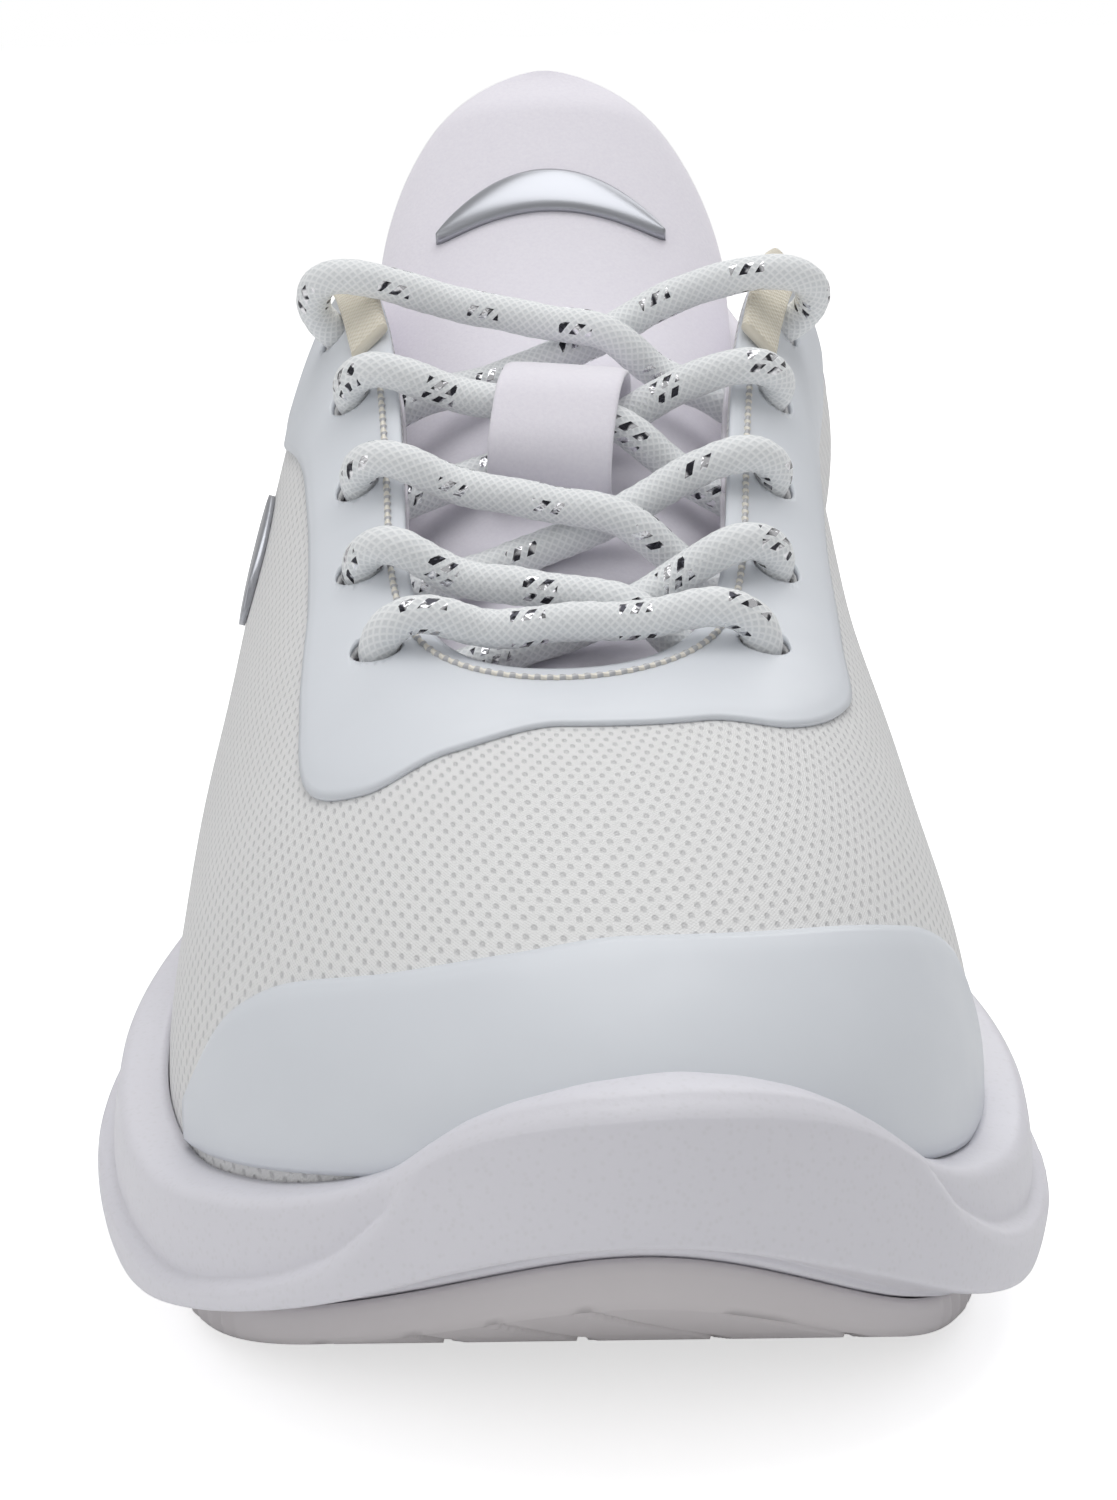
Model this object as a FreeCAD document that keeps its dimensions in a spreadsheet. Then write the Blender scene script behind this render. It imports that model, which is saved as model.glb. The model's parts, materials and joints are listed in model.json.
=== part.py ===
import FreeCAD, Part
import math
import os

from FreeCAD import Placement, Rotation, Vector

# A right-foot cheer shoe as its separate pieces, in millimetres.
#
# +Z is up, the toe points to -Y and the inner (medial) side is +X. The origin is on the ground
# under the instep, on the flat of the outsole.
#
# The sole is cut from outline sketches and side profiles. The upper is one smooth surface
# wrapped round the foot. Position u runs round the shoe in stations: 0 at the back of the heel,
# 9 at the toe, 18 at the heel again. Position v runs from the footbed, 0, to the edge of the
# opening, 1. Every layer of the upper is a patch of that surface with a thickness.

doc = FreeCAD.newDocument("cheer_shoe")

# ---------------------------------------------------------------- driving dimensions
DIMENSIONS = {
    "sole_length": 266.0,
    "ball_width": 99.0,
    "cut_depth": 130.0,
    "outsole_thick": 3.5,
    "outsole_inset": 7.5,
    "toe_spring": 21.0,
    "toe_roll_start": 76.0,
    "toe_roll_run": 48.0,
    "heel_flat_end": 118.0,
    "heel_bevel": 5.0,
    "heel_bevel_run": 16.0,
    "sole_seam": 0.25,
    "midsole_base": 3.0,
    "midsole_widest": 14.0,
    "midsole_waist": 30.0,
    "midsole_top": 43.0,
    "midsole_foot_inset": 6.5,
    "midsole_waist_inset": 2.5,
    "midsole_top_inset": 5.5,
    "footbed_heel": 22.0,
    "footbed_ball": 12.5,
    "bumper_height": 40.5,
    "rim_corner": 19.5,
    "rim_ball": 25.5,
    "rim_heel": 34.0,
    "feather_inset": 8.2,
    "well_clearance": 1.75,
    "rim_fall": 0.3,
    "board_inset": 13.5,
    "board_thick": 1.5,
    "sockliner_inset": 14.5,
    "sockliner_thick": 4.0,
    "tread_pitch": 14.0,
    "tread_groove": 2.2,
    "tread_depth": 1.6,
    "tread_radius": 60.0,
    "heel_height": 94.0,
    "ankle_height": 66.0,
    "eyestay_height": 104.0,
    "throat_height": 60.0,
    "throat_skew": 0.08,
    "mesh_thick": 1.0,
    "film_thick": 0.5,
    "layer_gap": 0.3,
    "throat_half": 18.0,
    "stiffener_thick": 0.7,
    "lining_thick": 0.7,
    "collar_foam_thick": 4.5,
    "eyelet_radius": 3.4,
    "hidden_eyelet_radius": 4.2,
    "eyelet_line": 0.85,
    "eyelet_first": 6.5,
    "eyelet_pitch": 15.0,
    "lace_radius": 2.1,
    "lace_gap": 0.8,
    "loop_lift": 2.9,
    "aglet_length": 20.0,
    "aglet_radius": 1.8,
    "stitch_radius": 0.3,
    "stitch_line": 0.945,
    "tongue_length": 133.0,
    "tongue_radius": 38.0,
    "tongue_lean": 3.0,
    "tongue_cover": 0.9,
    "tongue_base_foam": 2.4,
    "tongue_top_foam": 6.0,
    "tongue_tip_half": 23.0,
    "keeper_width": 14.5,
    "keeper_thick": 1.2,
    "keeper_span": 19.0,
    "keeper_clear": 10.3,
    "keeper_tilt": 8.0,
    "webbing_width": 5.0,
    "webbing_thick": 1.4,
    "heel_webbing_width": 16.0,
    "heel_loop_height": 20.0,
    "heel_loop_gap": 5.0,
}

sheet = doc.addObject("Spreadsheet::Sheet", "Dims")
for row, (alias, number) in enumerate(DIMENSIONS.items(), start=1):
    sheet.set(f"A{row}", alias.replace("_", " "))
    sheet.set(f"B{row}", str(number))
    sheet.setAlias(f"B{row}", alias)
doc.recompute()


def dim(alias):
    """The value of a driving dimension, read from its cell."""
    return float(getattr(sheet, alias))


# ---------------------------------------------------------------- outline and upper surface
# Control points once round the sole, from the back of the heel along the medial side to the
# toe and back along the lateral side: (share of the ball width, share of the sole length).
OUTLINE = [
    (0.000, 0.526),
    (0.263, 0.511),
    (0.364, 0.406),
    (0.354, 0.263),
    (0.293, 0.113),
    (0.313, -0.038),
    (0.480, -0.180),
    (0.515, -0.316),
    (0.343, -0.444),
    (0.091, -0.492),
    (-0.162, -0.459),
    (-0.444, -0.376),
    (-0.535, -0.233),
    (-0.485, -0.075),
    (-0.414, 0.075),
    (-0.374, 0.244),
    (-0.364, 0.398),
    (-0.263, 0.511),
]
STATIONS = len(OUTLINE)
TOE = STATIONS // 2

# The edge of the opening from the heel to the toe on one side: half width, place along the
# shoe, and height as a driving dimension plus a rise.
OPENING = [
    (0.0, 131.0, "heel_height", 0.0),
    (17.0, 129.0, "heel_height", -2.0),
    (29.0, 104.0, "ankle_height", 12.0),
    (35.0, 70.0, "ankle_height", 0.0),
    (36.0, 40.0, "ankle_height", 12.0),
    (25.0, 17.0, "eyestay_height", 0.0),
    (18.5, -12.0, "throat_height", 24.0),
    (18.0, -44.0, "throat_height", 6.0),
    (12.0, -56.0, "throat_height", 1.0),
    (0.0, -57.0, "throat_height", 0.0),
]

# How the wall leaves the footbed and reaches the opening at the same stations:
# outward and upward reach from the footbed, outward and upward reach from the opening.
WALL = [
    (7.0, 26.0, 5.0, -24.0),
    (7.0, 26.0, 4.0, -24.0),
    (6.0, 24.0, 4.0, -20.0),
    (6.0, 20.0, 3.0, -16.0),
    (7.0, 24.0, 5.0, -16.0),
    (5.0, 29.0, 11.0, -7.0),
    (3.0, 27.0, 10.0, -6.0),
    (4.0, 23.0, 13.0, -5.0),
    (8.0, 18.0, 19.0, 0.0),
    (2.5, 16.0, 34.0, -2.0),
]


def smoothstep(t):
    """A share from 0 to 1 that starts and ends level."""
    t = min(1.0, max(0.0, t))
    return t * t * (3 - 2 * t)


def crossing(low, high, is_before):
    """The place between low and high where is_before stops being true."""
    for _ in range(30):
        middle = (low + high) / 2
        if is_before(middle):
            low = middle
        else:
            high = middle
    return low


def outline_controls(inset):
    """Control points of the outline moved inwards, each with its outward direction."""
    points = [(x * dim("ball_width"), y * dim("sole_length")) for x, y in OUTLINE]
    moved = []
    for i, (x, y) in enumerate(points):
        before = points[i - 1]
        after = points[(i + 1) % STATIONS]
        tangent = Vector(after[0] - before[0], after[1] - before[1], 0).normalize()
        outward = Vector(-tangent.y, tangent.x, 0)
        moved.append((Vector(x, y, 0) - outward * inset, outward))
    return moved


def footbed_height(y):
    """Height of the midsole floor at a place along the shoe, rising into the toe."""
    fall = smoothstep((60.0 - y) / 115.0)
    level = dim("footbed_heel") + (dim("footbed_ball") - dim("footbed_heel")) * fall
    toe_run = max(0.0, -77.0 - y) / 45.0
    return level + 15.5 * toe_run**1.5


def opening_point(station):
    """Control point of the opening's edge; the outer side sits a little further forward."""
    half = min(station, STATIONS - station)
    side = 1 if station <= TOE else -1
    width, y, base, rise = OPENING[half]
    skew = dim("throat_skew") * side * width if half > 4 else 0.0
    return Vector(side * width, y + skew, dim(base) + rise)


def surface_controls():
    """Four rings of control points: footbed, lower wall, upper wall, opening."""
    rings = [[], [], [], []]
    for i, (foot, outward) in enumerate(outline_controls(dim("feather_inset"))):
        out_low, up_low, out_high, up_high = WALL[min(i, STATIONS - i)]
        foot.z = footbed_height(foot.y)
        edge = opening_point(i)
        rings[0].append(foot)
        rings[1].append(foot + outward * out_low + Vector(0, 0, up_low))
        rings[2].append(edge + outward * out_high + Vector(0, 0, up_high))
        rings[3].append(edge)
    return rings


CONTROLS = surface_controls()


def along(ring, u):
    """Uniform cubic B-spline through a closed ring of control points, at station u."""
    i = math.floor(u)
    t = u - i
    weights = (
        (1 - t) ** 3 / 6,
        (3 * t**3 - 6 * t**2 + 4) / 6,
        (-3 * t**3 + 3 * t**2 + 3 * t + 1) / 6,
        t**3 / 6,
    )
    point = Vector(0, 0, 0)
    for k, weight in enumerate(weights):
        point = point + ring[(i - 1 + k) % STATIONS] * weight
    return point


def wall_point(u, v):
    """A point of the upper's outer surface."""
    low, lower, upper, high = (along(ring, u) for ring in CONTROLS)
    s = 1 - v
    return low * s**3 + lower * (3 * s * s * v) + upper * (3 * s * v * v) + high * v**3


def wall_frame(u, v):
    """Directions at a point of the wall: round the shoe, towards the opening, outward."""
    step = 1e-3
    around = (wall_point(u + step, v) - wall_point(u - step, v)).normalize()
    upward = wall_point(u, v + step) - wall_point(u, v - step)
    outward = upward.cross(around).normalize()
    return around, around.cross(outward).normalize(), outward


def upper_point(u, v, offset):
    """A point at a distance outside (+) or inside (-) the upper's outer surface."""
    return wall_point(u, v) + wall_frame(u, v)[2] * offset


# ---------------------------------------------------------------- solids from point grids
RING_POINTS = 12
RING_SPACING = 2.0
RINGS_PER_FACE = 16
STRAP_SPACING = 1.2
OFF_AXIS = Vector(0.3, 0.2, 1.0)


def spline_poles(points):
    """Poles of the evenly knotted cubic through points, bending at its ends as they do."""
    corners = (points[:3], points[:-4:-1])
    first, last = (a - (a - b * 2 + c) * (1 / 6) for a, b, c in corners)
    totals = [point * 6 for point in points[1:-1]]
    totals[0] = totals[0] - first
    totals[-1] = totals[-1] - last
    pivots = [4.0]
    for i in range(1, len(totals)):
        totals[i] = totals[i] - totals[i - 1] * (1 / pivots[-1])
        pivots.append(4.0 - 1 / pivots[-1])
    inside = [totals[-1] * (1 / pivots[-1])]
    for total, pivot in zip(totals[-2::-1], pivots[-2::-1]):
        inside.insert(0, (total - inside[0]) * (1 / pivot))
    start = (first * 2 + inside[0]) * (1 / 3)
    finish = (last * 2 + inside[-1]) * (1 / 3)
    return [points[0], start, *inside, finish, points[-1]]


def skin_poles(grid):
    """Poles of the smooth surface through a grid of points."""
    across = [spline_poles(row) for row in grid]
    columns = [spline_poles(list(column)) for column in zip(*across)]
    return [list(row) for row in zip(*columns)]


def even_knots(count, degree):
    """Repeats and knots of an evenly knotted spline that starts and ends on its end poles."""
    spans = count - degree
    return [degree + 1] + [1] * (spans - 1) + [degree + 1], [float(k) for k in range(spans + 1)]


def spline_face(poles, degree):
    """A face over a grid of poles, of one degree down the grid and cubic across it."""
    repeats_down, knots_down = even_knots(len(poles), degree)
    repeats_across, knots_across = even_knots(len(poles[0]), 3)
    knots = (repeats_down, repeats_across, knots_down, knots_across)
    surface = Part.BSplineSurface()
    surface.buildFromPolesMultsKnots(poles, *knots, False, False, degree, 3)
    return surface.toShape()


def closed_solid(faces):
    """The solid inside faces that meet edge to edge."""
    shell = Part.makeShell(faces)
    shell.sewShape()
    solid = Part.makeSolid(shell)
    if solid.Volume < 0:
        solid.reverse()
    return solid


def slab_between(outer_grid, inner_grid):
    """A closed solid between two matching grids of points."""
    outer, inner = skin_poles(outer_grid), skin_poles(inner_grid)
    faces = [spline_face(poles, 3) for poles in (outer, inner)]
    for k in (0, -1):
        faces.append(spline_face([outer[k], inner[k]], 1))
        faces.append(spline_face([[row[k] for row in poles] for poles in (outer, inner)], 1))
    return closed_solid(faces)


def spread(first, last, count):
    """Evenly spaced numbers from first to last."""
    return [first + (last - first) * k / (count - 1) for k in range(count)]


def smooth_table(pairs):
    """A smooth function through (place, amount) pairs that never overshoots them."""
    places = [float(place) for place, _ in pairs]
    amounts = [float(amount) for _, amount in pairs]
    spans = [b - a for a, b in zip(places, places[1:])]
    rates = [(b - a) / span for a, b, span in zip(amounts, amounts[1:], spans)]
    slopes = [rates[0]]
    for before, after in zip(rates, rates[1:]):
        slopes.append(2 * before * after / (before + after) if before * after > 0 else 0.0)
    slopes.append(rates[-1])

    def amount_at(place):
        place = min(places[-1], max(places[0], place))
        i = min(len(spans) - 1, max(k for k, start in enumerate(places) if start <= place))
        t = (place - places[i]) / spans[i]
        start = amounts[i] * (1 + 2 * t) + slopes[i] * spans[i] * t
        end = amounts[i + 1] * (3 - 2 * t) - slopes[i + 1] * spans[i] * (1 - t)
        return start * (1 - t) ** 2 + end * t * t

    return amount_at


def at(setting, *place):
    """A setting that is either a plain number or a function of place."""
    return setting(*place) if callable(setting) else setting


def wall_patch(stations, low, high, outer, inner, columns=24, rows=9):
    """A layer of the upper between heights low and high; outer and inner are its offsets.

    A height may be a function of the station, and an offset of the station and the share of
    the way up the layer.
    """
    grids = []
    for offset in (outer, inner):
        grid = []
        for u in spread(*stations, columns):
            heights = spread(at(low, u), at(high, u), rows)
            shares = spread(0.0, 1.0, rows)
            grid.append([upper_point(u, v, at(offset, u, s)) for v, s in zip(heights, shares)])
        grids.append(grid)
    return slab_between(*grids)


def strap(points, side, width, thickness):
    """A flat band of constant width that follows points, lying square to the side vector."""
    side = Vector(side).normalize()
    line = Part.BSplineCurve()
    line.interpolate(points)
    points = line.discretize(max(9, round(line.length() / STRAP_SPACING)))
    lower, upper = [], []
    for i, point in enumerate(points):
        before = points[max(0, i - 1)]
        after = points[min(len(points) - 1, i + 1)]
        normal = (after - before).cross(side).normalize() * thickness
        edges = [point + side * (width * share) for share in (-0.5, 0.0, 0.5)]
        lower.append(edges)
        upper.append([edge + normal for edge in edges])
    return slab_between(upper, lower)


def cord(points, radius):
    """A round cord along a smooth line through points, skinned over evenly spaced rings."""
    line = Part.BSplineCurve()
    line.interpolate(points)
    length = line.length()
    count = max(8, round(length / RING_SPACING))
    heading = line.tangent(line.FirstParameter)[0]
    side = heading.cross(OFF_AXIS).normalize()
    rings = []
    for k in range(count + 1):
        parameter = line.parameterAtDistance(length * k / count, line.FirstParameter)
        centre, heading = line.value(parameter), line.tangent(parameter)[0]
        side = (side - heading * side.dot(heading)).normalize()
        across = heading.cross(side)
        angles = [math.tau * j / RING_POINTS for j in range(RING_POINTS)]
        ring = [centre + (side * math.cos(a) + across * math.sin(a)) * radius for a in angles]
        rings.append(ring + ring[:1])
    skins = []
    for start in range(0, count, RINGS_PER_FACE):
        skin = Part.BSplineSurface()
        skin.interpolate(rings[start : min(count, start + RINGS_PER_FACE) + 1])
        skins.append(skin)
    start_ring = skins[0].uIso(skins[0].bounds()[0])
    end_ring = skins[-1].uIso(skins[-1].bounds()[1])
    caps = [Part.Face(Part.Wire(ring.toShape())) for ring in (start_ring, end_ring)]
    return closed_solid([skin.toShape() for skin in skins] + caps)


# ---------------------------------------------------------------- document helpers
PIECES = []


def piece(obj, label):
    """Marks a document object as one physical piece of the shoe."""
    obj.Label = label
    PIECES.append(obj)
    return obj


def free_shape(name, shape):
    """A freely curved shape that no primitive or sketch can make."""
    obj = doc.addObject("Part::Feature", name)
    obj.Shape = shape
    obj.Placement = Placement()
    return obj


SIDE_VIEW = Rotation(Vector(1, 1, 1), 120)


def outline_sketch(name, inset, height_cell):
    """The sole outline, moved inwards, on a level plane at a named height."""
    sketch = doc.addObject("Sketcher::SketchObject", name)
    curve = Part.BSplineCurve()
    controls = [point for point, _ in outline_controls(inset)]
    knots = list(range(STATIONS + 1))
    curve.buildFromPolesMultsKnots(controls, [1] * len(knots), knots, True, 3)
    sketch.addGeometry(curve, False)
    if height_cell:
        sketch.setExpression("Placement.Base.z", f"Dims.{height_cell}")
    return sketch


def closed_sketch(name, curves):
    """A side-view sketch of curves laid end to end, closed with straight lines."""
    sketch = doc.addObject("Sketcher::SketchObject", name)
    sketch.Placement = Placement(Vector(0, 0, 0), SIDE_VIEW)
    last = None
    first = None
    for curve in curves:
        ends = [curve.value(p) for p in (curve.FirstParameter, curve.LastParameter)]
        if last is not None and last.distanceToPoint(ends[0]) > 1e-6:
            sketch.addGeometry(Part.LineSegment(last, ends[0]), False)
        sketch.addGeometry(curve, False)
        first = first or ends[0]
        last = ends[1]
    sketch.addGeometry(Part.LineSegment(last, first), False)
    return sketch


def extrude(name, sketch):
    """A sketch pushed out both ways from its plane."""
    obj = doc.addObject("Part::Extrusion", name)
    obj.Base = sketch
    obj.DirMode = "Normal"
    obj.Symmetric = True
    obj.Solid = True
    obj.setExpression("LengthFwd", "Dims.cut_depth")
    return obj


def combine(kind, name, base, tool):
    obj = doc.addObject(f"Part::{kind}", name)
    obj.Base = base
    obj.Tool = tool
    return obj


# ---------------------------------------------------------------- sole
ROLL_TURN = 70.0


def roll_points(start, rise, run, way, lift):
    """Start, middle and end of the arc that lifts one end of the sole off the ground."""
    radius = (run**2 + rise**2) / (2 * rise)
    centre = Vector(start, radius, 0)
    points = []
    for share in (0.0, 0.5, 1.0):
        angle = math.radians(ROLL_TURN * share)
        reach = Vector(way * math.sin(angle), -math.cos(angle), 0)
        points.append(centre + reach * (radius - lift))
    return points


def underside(lift, forwards=True):
    """Toe arc, flat and heel arc of the line that stays lift above the ground line."""
    toe = roll_points(-dim("toe_roll_start"), dim("toe_spring"), dim("toe_roll_run"), -1, lift)
    heel = roll_points(dim("heel_flat_end"), dim("heel_bevel"), dim("heel_bevel_run"), 1, lift)
    curves = [
        Part.Arc(toe[2], toe[1], toe[0]),
        Part.LineSegment(toe[0], heel[0]),
        Part.Arc(heel[0], heel[1], heel[2]),
    ]
    if forwards:
        return curves
    return [
        Part.Arc(heel[2], heel[1], heel[0]),
        Part.LineSegment(heel[0], toe[0]),
        Part.Arc(toe[0], toe[1], toe[2]),
    ]


def footbed_line(lift):
    """The midsole floor's profile from toe to heel, raised by lift."""
    line = Part.BSplineCurve()
    places = [-134.0, -126.0, -117.0, -108.0, -99.0, -90.0, -80.0, -65.0, -45.0]
    places += [-20.0, 5.0, 30.0, 60.0, 100.0, 146.0]
    line.interpolate([Vector(y, footbed_height(y) + lift, 0) for y in places])
    return line


def reversed_curve(curve):
    copy = curve.copy()
    copy.reverse()
    return copy


def tread_grooves():
    """Arched grooves across the flat of the outsole, evenly pitched."""
    half = dim("tread_groove") / 2
    radius = dim("tread_radius")
    first = -dim("toe_roll_start") + dim("tread_pitch") / 2
    count = int((dim("heel_flat_end") - first) / dim("tread_pitch"))
    rings = []
    for k in range(count):
        centre = Vector(0, first + k * dim("tread_pitch") + radius, 0)
        up = Vector(0, 0, 1)
        ring = Part.makeCylinder(radius + half, dim("tread_depth"), centre, up, 180)
        ring = ring.cut(Part.makeCylinder(radius - half, dim("tread_depth"), centre))
        ring.rotate(centre, up, 180)
        rings.append(ring)
    reach = dim("heel_flat_end") + dim("toe_roll_start")
    corner = Vector(-dim("ball_width") / 2, -dim("toe_roll_start"), 0)
    field = Part.makeBox(dim("ball_width"), reach, dim("tread_depth"), corner)
    return field.common(Part.makeCompound(rings))


def make_outsole():
    """Rubber sole that follows the ground line, with grooves across its flat."""
    thick = dim("outsole_thick")
    profile = closed_sketch("outsole_profile", underside(0) + underside(thick, False))
    side = extrude("outsole_side", profile)
    plan = extrude("outsole_plan", outline_sketch("outsole_outline", dim("outsole_inset"), None))
    blank = combine("Common", "outsole_blank", plan, side)
    grooves = free_shape("tread_grooves", tread_grooves())
    return piece(combine("Cut", "outsole_body", blank, grooves), "outsole")


# The rim's height at stations round the shoe: low at the corners of the toe, high over the
# bumper, which sits a little to the medial side, and rising again to the heel.
RIM = [
    (0, "rim_heel", 0.0),
    (2, "rim_heel", -1.0),
    (3, "rim_heel", -4.5),
    (4, "rim_ball", 0.5),
    (5, "rim_ball", -0.5),
    (6, "rim_ball", 0.0),
    (6.5, "rim_ball", -2.5),
    (7, "rim_corner", 0.0),
    (7.3, "rim_corner", 0.5),
    (7.6, "rim_corner", 4.0),
    (8, "rim_corner", 13.0),
    (8.3, "bumper_height", -2.5),
    (9.1, "bumper_height", 0.0),
    (9.8, "bumper_height", -4.0),
    (10, "rim_corner", 11.0),
    (10.3, "rim_corner", 5.5),
    (11.1, "rim_corner", 0.0),
    (11.4, "rim_corner", 0.5),
    (12, "rim_ball", -0.5),
    (13, "rim_ball", 0.0),
    (14, "rim_ball", 0.5),
    (15, "rim_heel", -4.5),
    (16, "rim_heel", -1.0),
    (18, "rim_heel", 0.0),
]
rim_height = smooth_table([(u, dim(base) + rise) for u, base, rise in RIM])


TRIM_REACH_IN, TRIM_REACH_OUT, TRIM_HEAD = 20.0, 12.0, 45.0


def rim_trimmer(first, last):
    """The space above the midsole's rim over a range of stations; the rim falls outwards."""
    ring = [point for point, _ in outline_controls(0.0)]
    step = 1e-3
    grids = []
    for lift in (TRIM_HEAD, 0.0):
        grid = []
        for u in spread(first, last, 60):
            around = (along(ring, u + step) - along(ring, u - step)).normalize()
            outward = Vector(-around.y, around.x, 0)
            line = []
            for reach in spread(-TRIM_REACH_IN, TRIM_REACH_OUT, 5):
                fall = dim("rim_fall") * (reach + dim("feather_inset"))
                height = Vector(0, 0, rim_height(u % STATIONS) - fall + lift)
                line.append(along(ring, u) + outward * reach + height)
            grid.append(line)
        grids.append(grid)
    return slab_between(*grids)


def wall_section(height, clearance):
    """The upper's outline at a level, pushed out by a clearance."""
    points = []
    for k in range(3 * STATIONS):
        u = k / 3
        v = crossing(0.0, 0.5, lambda v: wall_point(u, v).z < height)
        outward = wall_frame(u, v)[2]
        point = wall_point(u, v) + Vector(outward.x, outward.y, 0).normalize() * clearance
        points.append(Vector(point.x, point.y, height))
    curve = Part.BSplineCurve()
    curve.interpolate(Points=points, PeriodicFlag=True)
    return Part.Wire(curve.toShape())


# Levels at which the well for the upper is measured, and the roof over the whole shoe.
WELL_LEVELS = (6.0, 18.0, 23.0, 28.0, 34.0, 40.0, 46.0, 54.0)
ROOF = Part.LineSegment(Vector(150, 90, 0), Vector(-140, 90, 0))


def make_midsole():
    """Foam sole: outer shape, less the well the upper is lasted into, less the rim's trim."""
    outer = doc.addObject("Part::Loft", "midsole_outer")
    outer.Sections = [
        outline_sketch("midsole_foot_line", dim("midsole_foot_inset"), "midsole_base"),
        outline_sketch("midsole_widest_line", 0.0, "midsole_widest"),
        outline_sketch("midsole_waist_line", dim("midsole_waist_inset"), "midsole_waist"),
        outline_sketch("midsole_top_line", dim("midsole_top_inset"), "midsole_top"),
    ]
    outer.Solid = True
    seat = dim("outsole_thick") + dim("sole_seam")
    above_sole = extrude("above_outsole", closed_sketch("above_outsole_line", underside(seat) + [ROOF]))
    block = combine("Common", "midsole_block", outer, above_sole)
    sections = [wall_section(z, dim("well_clearance")) for z in WELL_LEVELS]
    lasted = free_shape("lasted_upper", Part.makeLoft(sections, True))
    above_floor = extrude("above_floor", closed_sketch("floor_line", [footbed_line(0.0), ROOF]))
    well = combine("Common", "midsole_well", lasted, above_floor)
    hollow = combine("Cut", "midsole_hollow", block, well)
    medial = free_shape("rim_trim_medial", rim_trimmer(-0.05, TOE + 0.05))
    lateral = free_shape("rim_trim_lateral", rim_trimmer(TOE - 0.05, STATIONS + 0.05))
    half_cut = combine("Cut", "midsole_half_trimmed", hollow, medial)
    return piece(combine("Cut", "midsole_body", half_cut, lateral), "midsole")


def make_foot_layer(label, inset, lift, thickness):
    """A sheet cut to the outline that follows the midsole floor."""
    sheet_line = [footbed_line(lift), reversed_curve(footbed_line(lift + thickness))]
    side = extrude(f"{label}_side", closed_sketch(f"{label}_profile", sheet_line))
    plan = extrude(f"{label}_plan", outline_sketch(f"{label}_outline", inset, None))
    return piece(combine("Common", f"{label}_body", plan, side), label)


# ---------------------------------------------------------------- layers of the upper
GAP = dim("layer_gap")
FILM = (GAP + dim("film_thick"), GAP)
STIFFENER_TOP = -(dim("mesh_thick") + GAP)
STIFFENER = (STIFFENER_TOP, STIFFENER_TOP - dim("stiffener_thick"))
LINING_TOP = STIFFENER[1] - GAP
LINING = (LINING_TOP, LINING_TOP - dim("lining_thick"))


def mirrored(half):
    """A table from the heel to the toe, repeated back along the other side."""
    return half + [(STATIONS - u, amount) for u, amount in reversed(half) if u < TOE]


# The edge of the light cover over the eyelets: low beside the eyelets, dropping at the top
# to cover the front of the collar.
EYESTAY_HALF = [(4.5, 0.84), (4.75, 0.66), (5.1, 0.62), (6.0, 0.72), (7.0, 0.74), (7.9, 0.76)]
EYESTAY_HALF += [(8.5, 0.87), (9.0, 0.89)]
TOE_EDGE = [(6.85, 0.12), (7.2, 0.30), (7.6, 0.40), (8.2, 0.44), (9.0, 0.42), (9.8, 0.42)]
TOE_EDGE += [(10.4, 0.40), (10.9, 0.30), (11.2, 0.12)]
HEEL_EDGE = [(-1.7, 0.22), (-1.0, 0.45), (0.0, 0.62), (1.0, 0.45), (1.7, 0.22)]
QUARTER_HALF = [(2.3, 0.42), (4.7, 0.42), (5.1, 0.42), (5.35, 0.6), (5.65, 0.92), (6.42, 0.94)]
FOAM_EASE = [(0.0, 0.12), (0.25, 0.75), (0.6, 1.0), (0.85, 0.8), (1.0, 0.2)]
eyestay_edge = smooth_table(mirrored(EYESTAY_HALF))
toe_edge = smooth_table(TOE_EDGE)
heel_edge = smooth_table(HEEL_EDGE)
quarter_top = smooth_table(mirrored(QUARTER_HALF))
foam_ease = smooth_table(FOAM_EASE)

# The collar's padding runs this far forward on each side and thins out over its last stretch.
COLLAR_FRONT, COLLAR_TAPER = 4.9, 0.8


def foam_depth(u, share):
    """Thickness of the collar foam at a station, from its lower edge to its upper edge."""
    front = 0.2 + 0.8 * smoothstep((COLLAR_FRONT - abs(u)) / COLLAR_TAPER)
    return dim("collar_foam_thick") * foam_ease(share) * front


def eyelet_stations(side):
    """Stations of the five eyelets on one side, top first; side is 1 medial, -1 lateral."""
    skew = dim("throat_skew") * dim("throat_half") * side
    near, far = (4.8, 8.6) if side > 0 else (STATIONS - 4.8, STATIONS - 8.6)
    found = []
    for row in range(5):
        place = dim("eyelet_first") - dim("eyelet_pitch") * row + skew
        found.append(crossing(near, far, lambda u: wall_point(u, dim("eyelet_line")).y > place))
    return found


EYELETS = {side: eyelet_stations(side) for side in (1, -1)}


def eyelet(side, row):
    """Centre and outward direction of an eyelet."""
    u = EYELETS[side][row]
    return wall_point(u, dim("eyelet_line")), wall_frame(u, dim("eyelet_line"))[2]


def eyelet_punches(radius):
    """A rod of one radius through every eyelet, square to the wall."""
    reach = 6.0
    punches = []
    for side, stations in EYELETS.items():
        for row in range(len(stations)):
            centre, outward = eyelet(side, row)
            punches.append(Part.makeCylinder(radius, 2 * reach, centre - outward * reach, outward))
    return Part.makeCompound(punches)


def upper_layer(label, stations, low, high, offsets, columns, rows, hole=None):
    """A patch of the upper as a piece, with the eyelets punched through it at a hole radius."""
    shape = wall_patch(stations, low, high, *offsets, columns, rows)
    if hole:
        shape = max(shape.cut(eyelet_punches(hole)).Solids, key=lambda solid: solid.Volume)
    return piece(free_shape(label, shape), label)


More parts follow.
